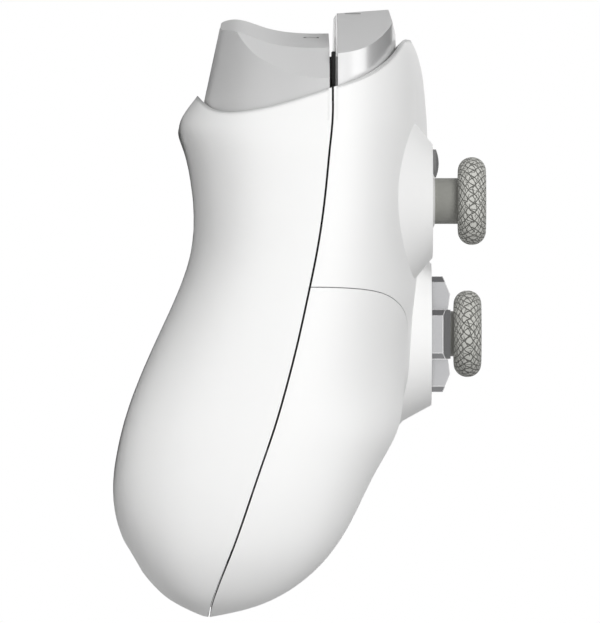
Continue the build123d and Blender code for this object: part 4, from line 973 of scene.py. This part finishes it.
@dataclass
class FacePieces:
    """The cross pad and the buttons."""

    dresser: Dresser
    face_buttons: int = 4

    def dress(self) -> None:
        """Dresses the pad, the buttons and what lies under them."""
        numbers = range(1, self.face_buttons + 1)
        for finish, names in (
            (PadMetal(), ("dpad",)),
            (MouldedPlastic("dish_grey", (0.30, 0.30, 0.30), roughness=0.35),
             ("dpad_disc", "dpad_rocker", "dpad_post")),
            (MouldedPlastic(
                "button_white", (0.78, 0.78, 0.77), roughness=0.16, depth=0.001, edge=0.2),
             [f"face_button_{number}" for number in numbers]),
            (MouldedPlastic("small_grey", (0.17, 0.17, 0.17), roughness=0.4, edge=0.3),
             ("view_button", "menu_button", "share_button")),
            (MouldedPlastic(
                "home_gloss", (0.62, 0.62, 0.62), roughness=0.12, depth=0.001, edge=0.2),
             ("home_button",)),
            (MouldedPlastic("membrane_pale", (0.55, 0.55, 0.52), roughness=0.6),
             ("button_membrane",)),
            (MouldedPlastic("switch_black", (0.02, 0.02, 0.02)), ("button_switches",)),
        ):
            self.dresser.dress(finish, *names)


@dataclass
class Shoulders:
    """Triggers and bumpers."""

    dresser: Dresser

    def dress(self) -> None:
        """Dresses the triggers, the bumpers and their pins."""
        for finish, names in (
            (MouldedPlastic("trigger_grey", (0.58, 0.58, 0.58), roughness=0.38, edge=0.18),
             both("trigger")),
            (BumperGloss(), both("bumper")),
            (MouldedPlastic(
                "bridge_gloss", (0.50, 0.50, 0.50), roughness=0.14, depth=0.001, edge=0.25),
             ("bumper_bridge",)),
            (Metal("pin_steel"), ("bumper_pins", *both("trigger_pin", "trigger_spring"))),
        ):
            self.dresser.dress(finish, *names)


@dataclass
class Inside:
    """Boards, battery, sockets and rumble motors."""

    dresser: Dresser

    def dress(self) -> None:
        """Dresses what lies inside the shells."""
        for finish, names in (
            (CircuitBoard("mask_green", (0.01, 0.09, 0.04), (0.02, 0.16, 0.07)),
             ("main_board", "port_board")),
            (CircuitBoard("mask_black", (0.01, 0.01, 0.01), (0.03, 0.03, 0.03)),
             both("bumper_board")),
            (MouldedPlastic("carrier_black", (0.03, 0.03, 0.03)), ("chassis",)),
            (MouldedPlastic("battery_wrap", (0.28, 0.29, 0.31), roughness=0.3), ("battery",)),
            (MouldedPlastic("jack_black", (0.02, 0.02, 0.02), roughness=0.3), ("headset_jack",)),
            (Metal("socket_steel", (0.62, 0.62, 0.63), 0.22),
             ("charging_port", *both("rumble_motor", "rumble_weight"))),
        ):
            self.dresser.dress(finish, *names)


@dataclass
class Numerals:
    """Plain numerals printed on the triggers and the bumpers.

    Places are across the face and out of it, in millimetres. Each outline starts well above the
    triggers and is cast down onto its piece.
    """

    dresser: Dresser
    ink: Colour = (0.05, 0.05, 0.05)
    ink_roughness: float = 0.5
    proud: float = 0.03
    tall: float = 2.9
    type_share: float = 1.35
    start: float = 70.0
    bumper_place: tuple[float, float] = (42.0, -13.6)
    trigger_place: tuple[float, float] = (42.0, -20.8)

    def _flat(self, digits: str) -> bpy.types.Mesh:
        """Outline of a number in its own plane, centred, in metres."""
        curve = bpy.data.curves.new("numeral", "FONT")
        curve.body, curve.size = digits, self.tall * MM * self.type_share
        curve.align_x, curve.align_y = "CENTER", "CENTER"
        holder = bpy.data.objects.new("numeral_outline", curve)
        mesh = bpy.data.meshes.new_from_object(holder)
        bpy.data.objects.remove(holder)
        bpy.data.curves.remove(curve)
        return mesh

    def _print(self, node: str, digits: str, place: Vector, ink: bpy.types.Material) -> None:
        """Lays a number on the surface of a node, where it rides on the body of that name.

        Args:
            node: The node.
            digits: The number.
            place: A place above the surface, in metres.
            ink: Its material.
        """
        mesh = self._flat(digits)
        matrix = face.matrix(place, RIGHT, face.up)
        ground = self.dresser.nodes[node].data
        tree = BVHTree.FromPolygons(
            [vertex.co for vertex in ground.vertices],
            [list(polygon.vertices) for polygon in ground.polygons],
        )
        name = f"{node}_numeral"
        for vertex in mesh.vertices:
            start = matrix @ vertex.co
            hit, surface, _, _ = tree.ray_cast(start, -face.up)
            vertex.co = start if hit is None else hit + surface * self.proud * MM
            if hit is None:
                log.warning("%s misses %s", name, node)
        add_piece(name, mesh, ink, node, "small_button")

    def build(self) -> None:
        """Prints every number."""
        ink = MouldedPlastic("numeral_ink", self.ink, roughness=self.ink_roughness).make()
        for side in Side:
            for word, digits, (x, z) in (
                ("bumper", "1", self.bumper_place), ("trigger", "2", self.trigger_place),
            ):
                place = face.point(side.value * x, self.start, z)
                self._print(f"{side.word}_{word}", digits, place, ink)


@dataclass
class Studio:
    """Floor, daylight, softboxes and a dark board that shows in reflections.

    Levels are shares of its own brightness that a white surface takes. Sizes are in metres, and
    the middle that the lamps point at is in millimetres on the face.
    """

    pale: float = 0.8
    reach: float = 1.2
    floor_x: float = -0.06
    ambient: float = 0.16
    key_level: float = 0.765
    top_level: float = 0.08
    far_level: float = 0.45
    middle_y: float = 4.0
    middle_z: float = -22.0

    def world(self) -> None:
        """Even light from all round, which looks white to the camera and in reflections."""
        world = bpy.data.worlds.new("studio")
        graph = Graph(world, "ShaderNodeOutputWorld")
        rays = graph.node("ShaderNodeLightPath").socket.node.outputs
        seen = Wire(graph, rays["Is Camera Ray"])
        for kind in ("Is Glossy Ray", "Is Transmission Ray"):
            seen = seen.most(Wire(graph, rays[kind]))
        level = graph.node(
            "ShaderNodeMapRange", {}, {"Value": seen, "To Min": self.ambient, "To Max": 1.0})
        graph.show(graph.node(
            "ShaderNodeBackground", {}, {"Color": (1.0, 1.0, 1.0, 1.0), "Strength": level}))
        bpy.context.scene.world = world

    def floor(self) -> None:
        """A pale round floor, clear from below so that the underside shows."""
        surface = Surface("floor_pale")
        surface.set(Base_Color=(self.pale, self.pale, self.pale, 1.0), Roughness=0.9)
        below = surface.node("ShaderNodeNewGeometry", output="Backfacing")
        clear = surface.node("ShaderNodeBsdfTransparent")
        surface.show(surface.node(
            "ShaderNodeMixShader", {}, {0: below, 1: surface.shaded, 2: clear}))
        builder = bmesh.new()
        bmesh.ops.create_circle(builder, cap_ends=True, segments=96, radius=self.reach)
        mesh = bpy.data.meshes.new("floor")
        builder.to_mesh(mesh)
        builder.free()
        mesh.materials.append(surface.material)
        floor = bpy.data.objects.new("floor", mesh)
        floor.location = (self.floor_x, 0, FLOOR_LEVEL)
        bpy.context.scene.collection.objects.link(floor)
        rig.stage(floor)

    def flag(self, name: str, place: Vector, target: Vector, width: float, height: float) -> None:
        """A dark board that shows in reflections only.

        Args:
            name: Its name.
            place: Where it stands.
            target: What it faces.
            width: Its width.
            height: Its height.
        """
        surface = Surface(f"{name}_black")
        surface.set(Base_Color=(0.01, 0.01, 0.01, 1.0), Roughness=1.0)
        mesh = bpy.data.meshes.new(name)
        corners = [
            (x * width / 2, y * height / 2, 0) for x, y in ((-1, -1), (1, -1), (1, 1), (-1, 1))]
        mesh.from_pydata(corners, [], [(0, 1, 2, 3)])
        mesh.materials.append(surface.material)
        board = bpy.data.objects.new(name, mesh)
        board.matrix_world = face.matrix(place, RIGHT, target - place)
        board.visible_camera = board.visible_diffuse = False
        board.visible_shadow = board.visible_transmission = False
        bpy.context.scene.collection.objects.link(board)
        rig.stage(board)

    def softbox(self, name: str, place: Vector, target: Vector, size: float, level: float,
                mirrored: bool = False) -> None:
        """A square softbox.

        Args:
            name: Its name.
            place: Where it stands.
            target: What it points at.
            size: Its side.
            level: What a white surface that faces it takes.
            mirrored: Whether it shows in reflections.
        """
        light = bpy.data.lights.new(name, "AREA")
        light.shape = "SQUARE"
        light.size = size
        light.energy = level * math.pi**2 * (target - place).length_squared
        lamp = bpy.data.objects.new(name, light)
        lamp.location = place
        lamp.rotation_mode = "QUATERNION"
        lamp.rotation_quaternion = (target - place).to_track_quat("-Z", "Y")
        lamp.visible_camera = False
        lamp.visible_glossy = mirrored
        bpy.context.scene.collection.objects.link(lamp)

    def build(self) -> None:
        """Sets up the floor, the lights and the board."""
        self.world()
        self.floor()
        middle = face.point(0, self.middle_y, self.middle_z)
        key = middle - RIGHT * 1.42 + face.up * 0.40 + face.out * 0.62
        top = middle - RIGHT * 0.4 + Vector((0, 0, 1.5))
        far = middle + RIGHT * 1.3 + Vector((0, 0.3, 0.7))
        board = middle + RIGHT * 0.42 + face.out * 0.56
        self.softbox("key", key, middle, size=0.6, level=self.key_level)
        self.softbox("top_fill", top, middle, size=1.2, level=self.top_level, mirrored=True)
        self.softbox("far_fill", far, middle, size=1.0, level=self.far_level)
        self.flag("flag", board, middle, width=0.85, height=1.2)


@dataclass
class Camera:
    """The photograph's camera.

    It is level with the floor and far off at the player's left, and is rolled so that the trigger
    end is up. The middle of its picture is in millimetres on the face.
    """

    distance: float = 4.214
    lens: float = 1400.0
    sensor: float = 36.0
    near: float = 0.5
    far: float = 50.0
    middle_y: float = 3.91
    middle_z: float = -22.6

    def build(self) -> None:
        """Makes the camera and sets it."""
        data = bpy.data.cameras.new("camera")
        data.lens = self.lens
        data.sensor_width = self.sensor
        data.sensor_fit = "AUTO"
        data.clip_start = self.near
        data.clip_end = self.far
        camera = bpy.data.objects.new("camera", data)
        bpy.context.scene.collection.objects.link(camera)
        middle = face.point(0, self.middle_y, self.middle_z)
        away = Vector((-self.distance, middle.y, FLOOR_LEVEL))
        camera.matrix_world = face.matrix(away, face.out, away - middle)
        bpy.context.scene.camera = camera


def main() -> None:
    """Builds the gamepad's looks, the studio and the camera."""
    logging.basicConfig(level=logging.INFO, format="%(name)s: %(message)s")
    bpy.context.scene.view_settings.view_transform = "Standard"
    dresser = Dresser(frame["nodes"])
    for assembly in (Shells, ThumbSticks, FacePieces, Shoulders, Inside):
        assembly(dresser).dress()
    Numerals(dresser).build()
    leftover = dresser.leftover()
    if leftover:
        log.warning("no finish yet: %s", leftover)
    Studio().build()
    Camera().build()
    with open("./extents.json") as kept:
        sizes = json.load(kept)
    sizes["visual"] = [list(corner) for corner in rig.bounds()]
    with open("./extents.json", "w") as kept:
        json.dump(sizes, kept)


if __name__ == "__main__":
    main()
